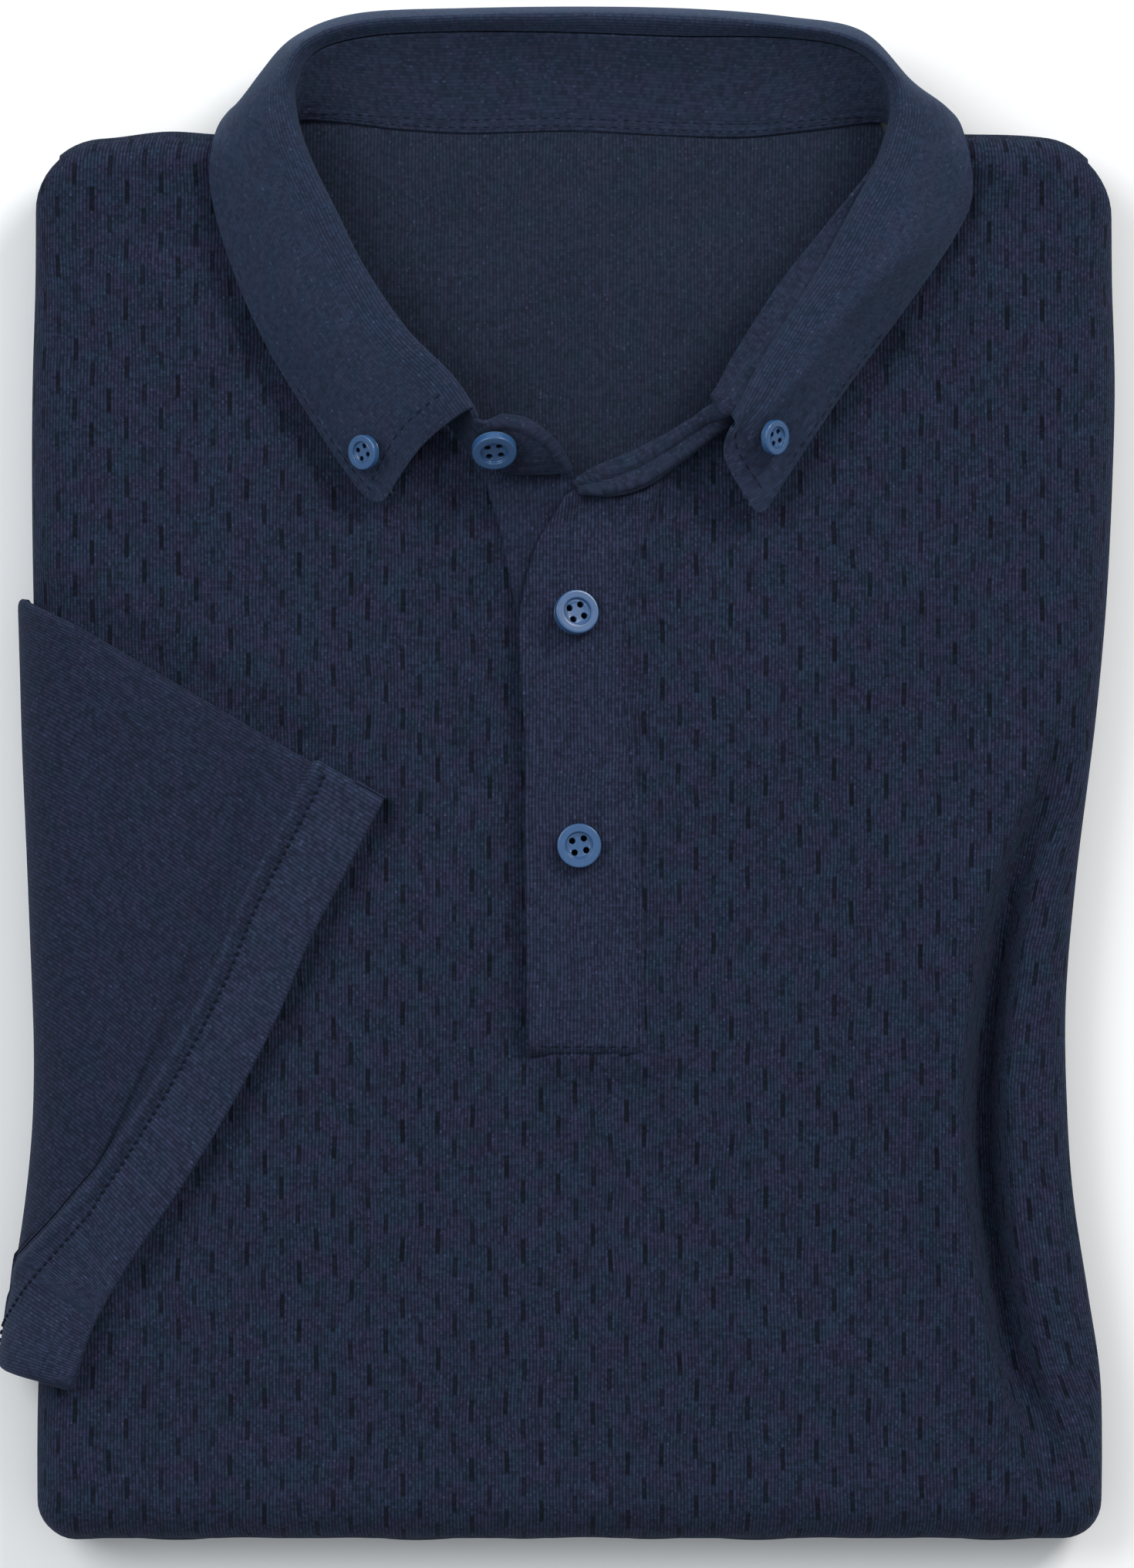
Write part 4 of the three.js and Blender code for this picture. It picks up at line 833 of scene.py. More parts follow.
under_share = near_ends(24, 28.0, 0.5, ("first",))
under_x, under_y = strip_grid("under", "right", np.full(len(under_share), 76.6), under_share * 0.92)
sunk = 1.3 * ramp(under_y, 70, 76)
under_points = np.stack([under_x, under_y, front_height(under_x, under_y, 0.4) + UNDER_STRIP - sunk], -1)
under_body, under_faces = pressed(under_points, 1.0, ("first",), 0.5)
under_flat = both_faces(flat_places(under_points))
under = cloth_mesh("placket_under_strip", under_body, under_faces, under_flat, plain_jersey)
close_poles(under)
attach(under, "root")
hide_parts("placket_under")

upper_share = near_ends(44, 31.0, 0.75, ("first",))
head_x = 1.4 + upper_share * 24.6
upper_heads = np.where(head_x < 6, 72.4 + 0.6 * ramp(head_x, 1.4, 6), 73.0 - 1.4 * swell(head_x - 15, 9))
upper_heads = upper_heads + 2.8 * ramp(head_x, 17, 27) - 0.8 * (1 - ramp(head_x, 1.4, 3.4))
upper_x, upper_y = strip_grid("left", "right", upper_heads, upper_share)
upper_right = read(PLACKET, "y", upper_y, "right")
from_right = upper_right - upper_x
from_left = upper_x - read(PLACKET, "y", upper_y, "left")
from_foot = upper_y - PLACKET_FOOT
sewn = np.maximum(1 - ramp(from_right, 0, 1.4), 1 - ramp(from_foot, 0, 1.2))
stitched = 0.8 * swell(from_right - 1.6, 1.0) * (upper_y < 70) + 0.7 * swell(from_foot - 1.6, 1.0)
# Its free edge stands up slightly at the top, where it curls out from under the buttonhole end
peak = 1.5 * swell(from_left - 2.0, 4.5) * ramp(upper_y, 58, 70)
peak = peak - 0.9 * swell(from_left - 8.5, 5.0) * ramp(upper_y, 62, 71)
# Under the buttonhole end it is held down, with a dimple where the end's pull meets it
sunk = 1.4 * ramp(upper_y, 70.5, 74.5) * ramp(upper_x, 3, 8)
sunk = sunk + 1.5 * swell(np.hypot((upper_x - 15) / 1.7, upper_y - 65), 8)
upper_z = front_height(upper_x, upper_y, 0.2) + UPPER_STRIP - 1.7 * sewn - stitched + peak - sunk
upper_points = np.stack([upper_x, upper_y, upper_z], -1)
upper_body, upper_faces = pressed(upper_points, 1.5, ("first", "high"), 0.75)
upper_flat = both_faces(flat_places(upper_points))
upper = cloth_mesh("placket_upper_strip", upper_body, upper_faces, upper_flat, placket_knit_painted_light)
close_poles(upper)


def stitches(name, line, up, length, gap, thick):
    """A row of stitches along a line of points, each a small bar of thread with rounded ends: 5 rings
    of 4 points, thick * sqrt(1-s*s) wide at s from its middle. up is the cloth's normal there."""
    away = np.r_[0, np.cumsum(np.linalg.norm(np.diff(line, axis=0), axis=1))]
    middles = np.arange(length, away[-1] - length, length + gap)
    s = np.array([-1.0, -0.75, 0.0, 0.75, 1.0])
    along = middles[:, None] + s * length / 2
    centre = np.stack([np.interp(along, away, line[:, axis]) for axis in range(3)], -1)
    rise = np.stack([np.interp(along, away, up[:, axis]) for axis in range(3)], -1)
    ahead = centre[:, -1:] - centre[:, :1]
    ahead = ahead / np.linalg.norm(ahead, axis=2, keepdims=True)
    aside = np.cross(ahead, rise)
    radius = (thick / 2 * np.sqrt(1.02 - s**2))[None, :, None, None]
    turn = (np.pi / 4 + np.pi / 2 * np.arange(4))[:, None]
    ring = aside[:, :, None] * np.cos(turn) + rise[:, :, None] * np.sin(turn)
    bars = centre[:, :, None] + ring * radius
    count = len(middles)
    one = np.concatenate([grid_faces(5, 4, closed=True), [[0, 1, 2, 3]], [[19, 18, 17, 16]]])
    faces = (one[None] + 20 * np.arange(count)[:, None, None]).reshape(-1, 4)
    row = cloth_mesh(name, bars, faces, bars[..., :2], thread)
    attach(row, "root")
    return row


def thread_material(name, colour):
    """Twisted sewing thread: its plies are waves of painted light and shade, (1+sin(2 pi (x+y)/0.5))/2,
    across the Object place.
    """
    material = bpy.data.materials.new(name)
    material.use_nodes = True
    tree = material.node_tree
    surface = tree.nodes["Principled BSDF"]
    shader(tree, "TexCoord")
    shader(tree, "SeparateXYZ", tree.nodes[-1].outputs["Object"])
    x, y = tree.nodes[-1].outputs[0], tree.nodes[-1].outputs[1]
    # Painted light and shade on the plies: lighter and darker bands across the thread
    ply = maths(tree, "SINE", maths(tree, "MULTIPLY", maths(tree, "ADD", x, y), 2 * np.pi / (0.5 * MM)))
    mixed = shader(tree, "MixRGB", maths(tree, "MULTIPLY_ADD", ply, 0.5, 0.5), (*colour, 1),
                   (*(c * 1.7 for c in colour), 1))
    tree.links.new(mixed, surface.inputs["Base Color"])
    surface.inputs["Roughness"].default_value = 0.8
    surface.inputs["Specular IOR Level"].default_value = 0.15
    return material


# Painted shade: the thread is near black, so that the stitches read as the shaded pits they lie in
thread = thread_material("navy_thread_painted_shade", (0.0024, 0.0044, 0.0115))
SEAM_IN = 2.2
STITCH, STITCH_GAP = 1.9, 1.1
in_seam = np.argmin(np.abs(from_right[:, 60] - SEAM_IN))
foot_row = np.argmin(np.abs(from_foot[20] - SEAM_IN))
side_grid = upper_points[:, foot_row:152]
side_row = stitches("placket_side_stitches", side_grid[in_seam], grid_normals(side_grid)[in_seam], STITCH,
                    STITCH_GAP, 0.42)
along_foot = slice(8, in_seam)
foot_stitches = stitches("placket_foot_stitches", upper_points[along_foot, foot_row],
                         grid_normals(upper_points)[along_foot, foot_row], STITCH, STITCH_GAP, 0.42)
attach(upper, "root")
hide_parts("placket_top")

# Collar stand
# A band of close ribbed knit, two layers thick, sewn into the neckline and folded flat with the
# collar. Its button tab and its buttonhole end run on past the leaf at the front.
# Lines round the collar from its right point to its left one, x, y and z of each: g the stand's upper
# edge, c the leaf's crest, m the leaf's middle, e its edge and n the neck seam. sag is how far the
# stand bows down between g and n. In the tables of its two ends, t is the upper edge.
COLLAR = columns(
    "gx gy gz cx cy cz mx my mz ex ey ez nx ny nz sag",
    (-20.2, 91.2, 36.0, -22.8, 92.8, 39.4, -35.1, 83.4, 34.2, -45.9, 68.1, 28.6, -22.1, 82.1, 26.6, 0.0),
    (-26.4, 100.4, 36.0, -29.2, 101.4, 40.4, -43.2, 89.6, 36.0, -51.9, 73.3, 28.6, -31.3, 94.6, 26.6, 0.0),
    (-37.8, 112.5, 36.5, -40.9, 113.0, 41.2, -54.6, 102.4, 37.0, -63.8, 90.5, 28.4, -42.8, 107.9, 26.6, 0.0),
    (-48.9, 128.3, 36.5, -51.5, 128.9, 41.6, -65.4, 119.7, 37.0, -75.1, 109.0, 28.0, -53.9, 125.0, 26.6, 0.0),
    (-56.8, 144.1, 36.5, -59.8, 144.9, 41.4, -73.4, 139.6, 35.6, -83.6, 128.3, 26.8, -61.9, 141.3, 26.4, 0.0),
    (-62.0, 154.6, 35.8, -65.0, 155.6, 40.6, -78.3, 152.6, 34.0, -89.4, 148.0, 26.6, -66.7, 152.4, 26.2, 0.0),
    (-65.2, 162.6, 34.8, -68.4, 164.0, 39.4, -81.2, 163.2, 31.8, -89.6, 161.6, 25.4, -69.0, 160.2, 25.4, 0.1),
    (-67.0, 169.8, 33.8, -70.3, 172.2, 38.0, -81.6, 171.6, 27.6, -86.0, 171.4, 12.0, -69.2, 165.8, 24.2, 0.3),
    (-67.2, 176.8, 32.5, -70.2, 179.7, 36.2, -76.6, 181.4, 21.0, -74.7, 180.0, 2.6, -65.9, 167.8, 22.8, 0.6),
    (-62.1, 185.2, 31.5, -64.5, 188.1, 34.6, -67.8, 190.2, 19.0, -65.0, 187.2, 2.0, -55.4, 167.2, 22.4, 1.0),
    (-48.2, 189.3, 30.5, -50.1, 193.0, 33.2, -52.1, 195.8, 18.0, -50.1, 190.9, 1.6, -40.5, 165.4, 22.3, 1.3),
    (-24.5, 190.5, 30.0, -24.8, 194.5, 32.6, -25.4, 197.5, 17.0, -24.8, 191.9, 1.4, -22.8, 164.4, 22.2, 1.5),
    (2.3, 190.3, 30.0, 2.3, 195.0, 32.6, 2.3, 198.0, 17.0, 2.3, 192.3, 1.4, 2.3, 165.0, 22.2, 1.5),
    (31.0, 189.3, 30.0, 31.4, 194.3, 32.6, 32.0, 197.2, 17.0, 31.5, 191.4, 1.4, 27.2, 163.9, 22.2, 1.5),
    (56.8, 188.9, 30.5, 57.7, 192.2, 33.2, 58.7, 195.1, 18.0, 58.0, 189.9, 1.6, 47.1, 163.4, 22.3, 1.3),
    (74.6, 186.0, 31.5, 76.1, 188.5, 34.6, 78.4, 191.6, 20.0, 75.7, 186.6, 2.0, 67.0, 165.4, 22.4, 1.0),
    (83.6, 178.4, 33.0, 86.3, 179.7, 36.6, 91.0, 178.6, 23.0, 90.1, 176.7, 3.0, 80.9, 167.2, 22.8, 0.6),
    (85.0, 170.0, 34.2, 88.6, 171.0, 38.4, 98.6, 170.8, 28.6, 102.2, 171.4, 12.0, 86.6, 165.8, 24.2, 0.3),
    (83.4, 162.8, 35.0, 86.8, 162.6, 39.4, 97.6, 161.0, 33.4, 105.8, 161.4, 25.4, 86.8, 160.2, 25.8, 0.1),
    (80.6, 155.2, 35.6, 83.6, 154.2, 39.8, 95.2, 150.6, 35.4, 106.8, 148.6, 26.4, 85.8, 152.8, 26.2, 0.0),
    (74.4, 143.5, 36.0, 77.4, 142.4, 39.8, 92.2, 135.8, 37.0, 102.3, 137.9, 26.6, 80.4, 142.1, 26.4, 0.0),
    (67.7, 131.1, 36.0, 70.0, 129.3, 39.2, 82.9, 125.4, 38.0, 92.6, 123.0, 28.0, 73.6, 129.3, 26.6, 0.0),
    (59.0, 118.0, 36.0, 61.1, 116.1, 38.4, 71.4, 112.4, 37.4, 80.7, 107.0, 28.4, 65.2, 116.6, 26.6, -0.4),
    (50.3, 104.2, 35.5, 52.3, 102.5, 37.6, 61.6, 99.0, 36.8, 69.9, 92.3, 28.6, 55.5, 102.8, 26.6, -0.6),
    (43.4, 92.6, 34.6, 45.2, 88.2, 37.4, 43.0, 79.9, 32.4, 52.1, 65.0, 28.6, 47.0, 91.2, 26.8, -1.2),
)
TAB_END = columns(
    "tx ty tz nx ny nz sag",
    (2.9, 79.2, 28.8, 2.9, 77.6, 27.2, 0.0),
    (0.7, 84.1, 32.2, -2.3, 77.3, 26.8, -0.8),
    (-2.8, 87.9, 35.0, -6.6, 77.1, 26.8, -1.4),
    (-7.8, 91.0, 36.8, -11.0, 77.3, 26.8, -1.4),
    (-13.5, 91.9, 37.4, -16.6, 79.1, 26.8, -1.0),
)
LOOSE_END = columns(
    "tx ty tz nx ny nz sag",
    (35.9, 92.0, 32.2, 38.6, 85.2, 27.4, -0.9),
    (27.4, 87.0, 30.2, 30.9, 79.3, 27.8, -0.8),
    (18.1, 82.4, 29.6, 22.2, 73.2, 28.0, -0.7),
    (9.6, 78.8, 29.2, 13.2, 71.0, 28.0, -0.6),
    (3.3, 75.4, 28.8, 5.6, 72.0, 27.8, -0.3),
)


def line_of(table, letter):
    """A seam or fold line of the collar, as points, from its three columns."""
    return np.stack([table[letter + axis] for axis in "xyz"], 1)


def cubic(a, b, c, d, t):
    """The smooth curve from b to c, with a before and d after them:
    (2b + (c-a)t + (2a-5b+4c-d)t^2 + (3b-a-3c+d)t^3) / 2."""
    return 0.5 * (2 * b + (c - a) * t + (2 * a - 5 * b + 4 * c - d) * t**2 + (3 * b - a - 3 * c + d) * t**3)


def curve(points, at):
    """The smooth curve through a list of points at places in steps of the list."""
    at = np.asarray(at, float)
    i = np.clip(np.floor(at).astype(int), 0, len(points) - 2)
    t = (at - i).reshape(at.shape + (1,) * (points.ndim - 1))
    return cubic(*(points[np.clip(i + k, 0, len(points) - 1)] for k in (-1, 0, 1, 2)), t)


def curves(points, at):
    """As curve, for many lists side by side, each with its own row of places."""
    i = np.clip(np.floor(at).astype(int), 0, len(points) - 2)
    line = np.arange(points.shape[1])[:, None]
    near = [points[np.clip(i + k, 0, len(points) - 1), line] for k in (-1, 0, 1, 2)]
    return cubic(*near, (at - i)[..., None])


# Places along the stand are counted in rows of the three tables, one after the other
stand_top = np.concatenate([line_of(TAB_END, "t"), line_of(COLLAR, "g"), line_of(LOOSE_END, "t")])
stand_neck = np.concatenate([line_of(TAB_END, "n"), line_of(COLLAR, "n"), line_of(LOOSE_END, "n")])
stand_sag = np.r_[TAB_END["sag"], COLLAR["sag"], LOOSE_END["sag"]][:, None]
LAST = len(stand_top) - 1
LOOSE_STARTS = LAST - 5.0
TURN_FROM, TURN_TO = 23.2, 26.8
at = LAST * near_ends(430, LAST, 0.12, ("first", "last"))
top, neck, sag = curve(stand_top, at), curve(stand_neck, at), curve(stand_sag, at)
under_leaf = ramp(at, 3.6, 5.2) * (1 - ramp(at, LOOSE_STARTS - 0.6, LOOSE_STARTS + 0.4))
# Both ends are rounded: the band narrows to half its width there on a quarter of an ellipse
from_tip = np.minimum(at / 0.75, (LAST - at) / 0.9)
round_end = 0.45 * (1 - np.sqrt(1 - (1 - np.minimum(from_tip, 1)) ** 2))
free_top = near_ends(26, 12.0, 0.7, ("first",)) * 0.999
turned_back = ramp(at, TURN_FROM, TURN_TO)
start = (0.1 + 0.3 * under_leaf * (1 - turned_back)) / np.linalg.norm(top - neck, axis=1) + round_end * 0.6
stop = 1.0 - round_end * 0.25
share = (start[:, None] + (stop - start)[:, None] * free_top)[..., None]
# Beside the wearer's left collar point its inner face turns up, into the neck opening
turned_up = turned_back * (1 - ramp(at, 28.9, 30.2))
band_ahead = np.gradient(top[:, :2], axis=0)
band_ahead /= np.linalg.norm(band_ahead, axis=1, keepdims=True)
into_neck = np.stack([band_ahead[:, 1], -band_ahead[:, 0], band_ahead[:, 0] * 0 - 0.16], 1)
rim_line = top + into_neck * (6.2 * turned_up)[:, None]
groove = top + (neck - top) * (0.4 * (1 - turned_up))[:, None] - np.array([0, 0, 0.7]) * turned_up[:, None]
near_rim = share < 0.4
stand_points = np.where(near_rim, rim_line[:, None] + (groove - rim_line)[:, None] * share / 0.4,
                        groove[:, None] + (neck - groove)[:, None] * (share - 0.4) / 0.6)
stand_points[..., 2] -= 4 * sag * share[..., 0] * (1 - share[..., 0])
height = np.linalg.norm(top - neck, axis=1)[:, None]
from_seam = (1 - share[..., 0]) * height
in_loose = ramp(at, LOOSE_STARTS - 0.2, LOOSE_STARTS + 0.8)[:, None]
in_tab = (1 - ramp(at, 4.2, 5.0))[:, None]
# Rows of topstitching draw the band in by a hair along its lower seam. The tab has a rolled rim, and
# the buttonhole end a fold along its middle with the neck seam's ridge below it.
pinch = 0.3 * (swell(from_seam - 1.7, 0.8) + swell(from_seam - 4.4, 0.8)) * (height > 14)
across_loose = share[..., 0]
from_rim = across_loose * height
rim_roll = in_tab * (1.1 * swell(from_rim - 1.1, 1.5) - 0.5 * swell(from_rim - 3.2, 1.2))
fold = in_loose * (0.8 * swell(across_loose - 0.48, 0.24) - 0.7 * swell(across_loose - 0.76, 0.09)
                   + 0.3 * swell(across_loose - 0.9, 0.1)) * (1 - 0.7 * ramp(at, LAST - 1.6, LAST))[:, None]
stand_points -= grid_normals(stand_points) * (rim_roll + fold - pinch)[..., None]
stand_points = stand_points[::-1]
stand_flat = flat_places(stand_points, line=stand_points.shape[1] - 1)[..., ::-1]
# Painted light: the rib is a lighter copy of the shirt's navy, for the light that the raised band and tab
# catch
rib = knit("collar_rib", (0.0140, 0.0222, 0.0420), (0.0168, 0.0210, 0.0425), wale=0.94, course=0.8,
           relief=0.09, mottle=0.8, plain_from=0.0)
stand_body, stand_faces = pressed(stand_points, 1.3, ("first", "last", "high", "low"), 0.6)
stand = cloth_mesh("collar_stand_band", stand_body, stand_faces, both_faces(stand_flat), rib)
close_poles(stand)
stand_normals = grid_normals(stand_points)
# Rows of topstitching, each at the level of the band that comes nearest to its place, on its own part
BEHIND_NECK, ON_LOOSE_END, ON_TURNED = slice(172, 270), slice(8, 70), slice(56, 118)
behind = from_seam[len(from_seam) // 2]
STAND_ROWS = (
    ("low", np.abs(behind - 1.7), BEHIND_NECK, 1.1, 0.36),
    ("high", np.abs(behind - 4.4), BEHIND_NECK, 1.1, 0.36),
    ("loose", np.abs(free_top - 0.84), ON_LOOSE_END, 1.0, 0.4),
    ("turned", np.abs(free_top - 0.3), ON_TURNED, 1.0, 0.4),
)
for label, away, part, gap, thick in STAND_ROWS:
    level = np.argmin(away)
    row = stitches("stand_stitches_" + label, stand_points[part, level], stand_normals[part, level], STITCH,
                   gap, thick)
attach(stand, "root")
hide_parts("collar_stand")

# Collar leaf
# Two layers of smooth jersey, turned and pressed flat. It is sewn to the stand's top edge, rolls over
# at the crest and buttons down at both points.
TIP_ROUND = 3.6
LEAF_SEAM = 5.4
FRONT_SEAM = 5.0
CREST_LINE = 14
leaf_lines = np.stack([line_of(COLLAR, letter) for letter in "gcme"])
LEAF_LAST = len(COLLAR["sag"]) - 1
# Places along the leaf are counted in rows of COLLAR, and across it from 0 at g over 1 at c to 3 at e
at = LEAF_LAST * near_ends(500, LEAF_LAST, 0.075, ("first", "last"))
stations = np.stack([curve(line, at) for line in leaf_lines])
edge_walk = np.r_[0, np.cumsum(np.linalg.norm(np.diff(stations[3], axis=0), axis=1))]
tip_pull = corner_pull(np.minimum(edge_walk, edge_walk[-1] - edge_walk), TIP_ROUND)
outer_width = np.linalg.norm(np.diff(stations[1:], axis=0), axis=2).sum(0)
over = 2 * near_ends(44, 2.0, 0.06, ("last",))
over_share = 1 - (tip_pull / outer_width)[:, None]
rising = np.broadcast_to(np.linspace(0, 0.94, CREST_LINE), (len(at), CREST_LINE))
places = np.concatenate([rising, 1 + over * over_share], 1)
leaf_points = curves(stations, places)
normal = grid_normals(leaf_points)
# The wearer's left side is pressed to a soft crease along its middle, and the rest lies in faint swells
left_side = ramp(at, 17.4, 19.4) * (1 - ramp(at, 23.2, 23.9))
crease = left_side[:, None] * (0.9 * swell(places - 1.85, 0.34) - 0.35 * swell(places - 2.35, 0.3))
waves = 0.22 * np.sin(at[:, None] * 1.7 + places * 2.1) * ramp(places, 1.1, 1.8)
near_tip = (1 - ramp(at, 2.4, 4.0) + ramp(at, 20.5, 22.0))[:, None]
dip = -0.4 * swell(np.abs(places - 3) * outer_width[:, None] / 2 - LEAF_SEAM, 0.9) * near_tip
leaf_points += normal * (crease + waves + dip)[..., None]
leaf_flat = flat_places(leaf_points, line=CREST_LINE)[..., ::-1]
# Painted light: a lighter copy of the shirt's navy, for the light that the raised leaf catches
leaf_jersey_painted_light = knit("collar_jersey", (0.0150, 0.0248, 0.0490), (0.0180, 0.0237, 0.0482), wale=0.90,
                   course=0.62, relief=0.075, nap=0.16, mottle=0.72, plain_from=4.5)
leaf_body, leaf_faces = pressed(leaf_points, 1.5, ("first", "last", "high"), 0.75)
leaf = cloth_mesh("collar_leaf_fold", leaf_body, leaf_faces, both_faces(leaf_flat), leaf_jersey_painted_light)
close_poles(leaf)
leaf_normals = grid_normals(leaf_points)
PAST_CREST = places.shape[1] - CREST_LINE - 1


def leaf_line(first, last, share_of_width):
    """Points and normals along the leaf between two places in its length, at a share of the way from
    crest to edge."""
    rows = np.flatnonzero((at >= first) & (at <= last))
    level = CREST_LINE + int(share_of_width * PAST_CREST)
    return leaf_points[rows, level], leaf_normals[rows, level]


def front_edge_line(away, low_share, high_share):
    """Points and normals of a line FRONT_SEAM in from one of the leaf's front edges, between two shares
    of the way from crest to edge. away is each column's distance from that front edge."""
    column = int(np.argmin(np.abs(away - FRONT_SEAM)))
    levels = CREST_LINE + np.arange(int(low_share * PAST_CREST), int(high_share * PAST_CREST))
    return leaf_points[column, levels], leaf_normals[column, levels]


seam_share = 1 - LEAF_SEAM / outer_width.mean()
LEAF_ROWS = (
    ("right_edge", leaf_line(0.5, 2.6, seam_share)),
    ("left_edge", leaf_line(21.6, 23.5, seam_share)),
    ("right_front", front_edge_line(edge_walk, 0.12, seam_share)),
    ("left_front", front_edge_line(edge_walk[-1] - edge_walk, 0.2, seam_share)),
)
for label, sewn_line in LEAF_ROWS:
    row = stitches("leaf_stitches_" + label, *sewn_line, STITCH, 1.2, 0.4)
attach(leaf, "root")
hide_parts("collar_leaf")

# Sleeve and its hem
# The sleeve on the wearer's right is brought round the side and laid flat across the front, as two
# layers of plain jersey. Its end is turned in and sewn down as a hem with a soft ridge.
# Rows from its upper fold to its lower one: where the hem ends, at what y the line behind it passes
# the bundle's edge, how wide the hem is, and how full the sleeve is where it turns the edge
SLEEVE = columns(
    "hem_x hem_y y band full",
    (-45.9, -7.7, 45.0, 21, 2.8),
    (-55.3, -25.7, 28.5, 21, 2.8),
    (-64.6, -43.4, 5.0, 21, 3.0),
    (-72.9, -63.0, -17.6, 21, 3.0),
    (-84.1, -84.7, -45.4, 21, 3.0),
    (-97.2, -106.1, -73.2, 21, 3.0),
    (-111.1, -126.6, -102.0, 21, 4.2),
    (-120.4, -143.3, -130.0, 20, 6.6),
    (-124.9, -158.6, -155.0, 16, 9.6),
)
SLEEVE_FULL = 3.9
SLEEVE_LIFT = 0.5
SLEEVE_TURN_LIFT = 1.3
HEM_EXTRA = 0.5
SLEEVE_ROUND = 0.03
TUCK_END = -6.5
HEM_BAND = 21.0
HEM_SEWN = 16.4


def over_front(reach, y, height):
    """A point that high over the front's face, square to it where the bundle's side rolls down, an
    ellipse with its normal along (-(1-t)/a, sqrt(1-(1-t)^2)/b)."""
    left = left_edge(y)
    along = np.clip(reach / SIDE_ROLL, 0, 1)
    roll = np.sqrt(1 - (1 - along) ** 2)
    rise = crown(left + np.maximum(reach, 0), y, 0) - SIDE_EDGE
    out = np.stack([-(1 - along) / SIDE_ROLL, roll / rise], -1)
    out = out / np.linalg.norm(out, axis=-1, keepdims=True) * height[..., None]
    rolled = np.stack([left + reach + out[..., 0], y, SIDE_EDGE + rise * roll + out[..., 1]], -1)
    flat_part = np.stack([left + reach, y, front_height(left + reach, y, 0.2) + height], -1)
    tucked = np.minimum(reach / TUCK_END, 1)
    below_edge = np.stack([left - height * (1 - 0.3 * tucked * tucked), y, SIDE_EDGE + reach], -1)
    at_reach = reach[..., None]
    return np.where(at_reach < 0, below_edge, np.where(at_reach >= SIDE_ROLL, flat_part, rolled))


def sleeve_face(across, reach_of, upper, in_hem):
    """One layer of the sleeve. across runs from its upper fold to its lower one, and reach_of gives
    how far in from the bundle's edge each line of points lies, from the line's own length. The layers
    part by full * sqrt(1-(1-d)^2), where d is the share of SLEEVE_ROUND in from either fold."""
    lines = np.stack([SLEEVE[c] for c in ("hem_x", "hem_y", "y", "band", "full")], 1)
    hem_x, hem_y, y, band, full = np.moveaxis(curve(lines, across * (len(lines) - 1)), -1, 0)[:, :, None]
    left = left_edge(y)
    length = np.hypot(left - hem_x, y - hem_y)
    span = hem_x - left
    reach = reach_of(span, band / length)
    back = 1 - reach / span
    place_x, place_y = hem_x + (left - hem_x) * back, hem_y + (y - hem_y) * back
    ends = np.minimum(np.minimum(across, 1 - across) / SLEEVE_ROUND, 1)[:, None]
    fullness = full + (SLEEVE_FULL + in_hem * HEM_EXTRA - full) * ramp(reach, 0, 16)
    half = np.maximum(fullness / 2 * np.sqrt(1 - (1 - ends) ** 2), 0.05)
    turn_lift = SLEEVE_TURN_LIFT + 0.4 * in_hem
    lift = turn_lift + (SLEEVE_LIFT - turn_lift) * ramp(reach, 7, 16)
    from_edge = place_x - left_edge(place_y)
    place_y = np.where(place_y > y, y + (place_y - y) * ramp(across, 0, 0.2)[:, None], place_y)
    return over_front(from_edge, place_y, lift + fullness / 2 + (half if upper else -half))


round_steps = SLEEVE_ROUND * (1 - np.cos(np.linspace(0, np.pi / 2, 9)))[:-1]
across = np.r_[round_steps, np.linspace(SLEEVE_ROUND, 1 - SLEEVE_ROUND, 130), 1 - round_steps[::-1]]
turn_steps = np.r_[np.linspace(TUCK_END, -1, 5), SIDE_ROLL * (1 - np.cos(np.linspace(0, np.pi / 2, 12)))]
LAID_LINES = 46
ON_SLEEVE = len(turn_steps) + LAID_LINES
ON_HEM = 40


def sleeve_reach(span, band_share):
    """From the tucked-in end round the rolled edge, evenly on to the hem's ridge, and over the hem,
    closer together at its ridge and at its open end."""
    ridge = span * (1 - band_share)
    last_turn = np.minimum(SIDE_ROLL, ridge - 1.5)
    turned = np.minimum(turn_steps, last_turn + turn_steps / 40)
    onward = last_turn + 0.4 + (ridge - last_turn - 0.4) * np.linspace(0, 1, LAID_LINES)
    over_hem = np.linspace(0, 1, ON_HEM + 1)[1:]
    return np.concatenate([turned, onward, span * (1 - band_share * (1 - over_hem))], 1)


def sleeve_tube(in_hem):
    """Both layers as one ring round the flattened sleeve: the upper one there, the lower one back."""
    top_face = sleeve_face(across, sleeve_reach, True, in_hem)
    low_face = sleeve_face(across, sleeve_reach, False, in_hem)
    return np.concatenate([top_face, low_face[::-1][1:-1], top_face[:1]], 0)


bare, hemmed = sleeve_tube(0), sleeve_tube(1)
hem_width = np.linalg.norm(hemmed[:, ON_SLEEVE] - hemmed[:, -1], axis=1)[:, None]
from_ridge = (np.arange(ON_SLEEVE + ON_HEM) - ON_SLEEVE)[None, :] / ON_HEM * hem_width
tube = bare + (hemmed - bare) * ramp(from_ridge, -1.0, 1.2)[..., None]
from_end = hem_width - from_ridge
upper_side = (np.arange(len(tube)) < len(across))[:, None]
# The turned-in edge presses through as a soft ridge, and the stitching HEM_SEWN from the end sinks in
ridge_lift = 1.5 * swell(from_ridge - 1.5, 2.6) - 1.3 * swell(from_ridge + 2.6, 2.8)
ridge_lift = ridge_lift - 0.25 * swell(from_end - HEM_SEWN, 1.0)
slack = 0.25 * np.sin(tube[..., 0] * 0.11 + tube[..., 1] * 0.05) * ramp(-from_ridge, 2, 14)
sag = 0.3 * np.sin(tube[..., 1] * 0.16) * swell(from_end - 9, 8)
tube[..., 2] += (ridge_lift + slack + sag) * upper_side
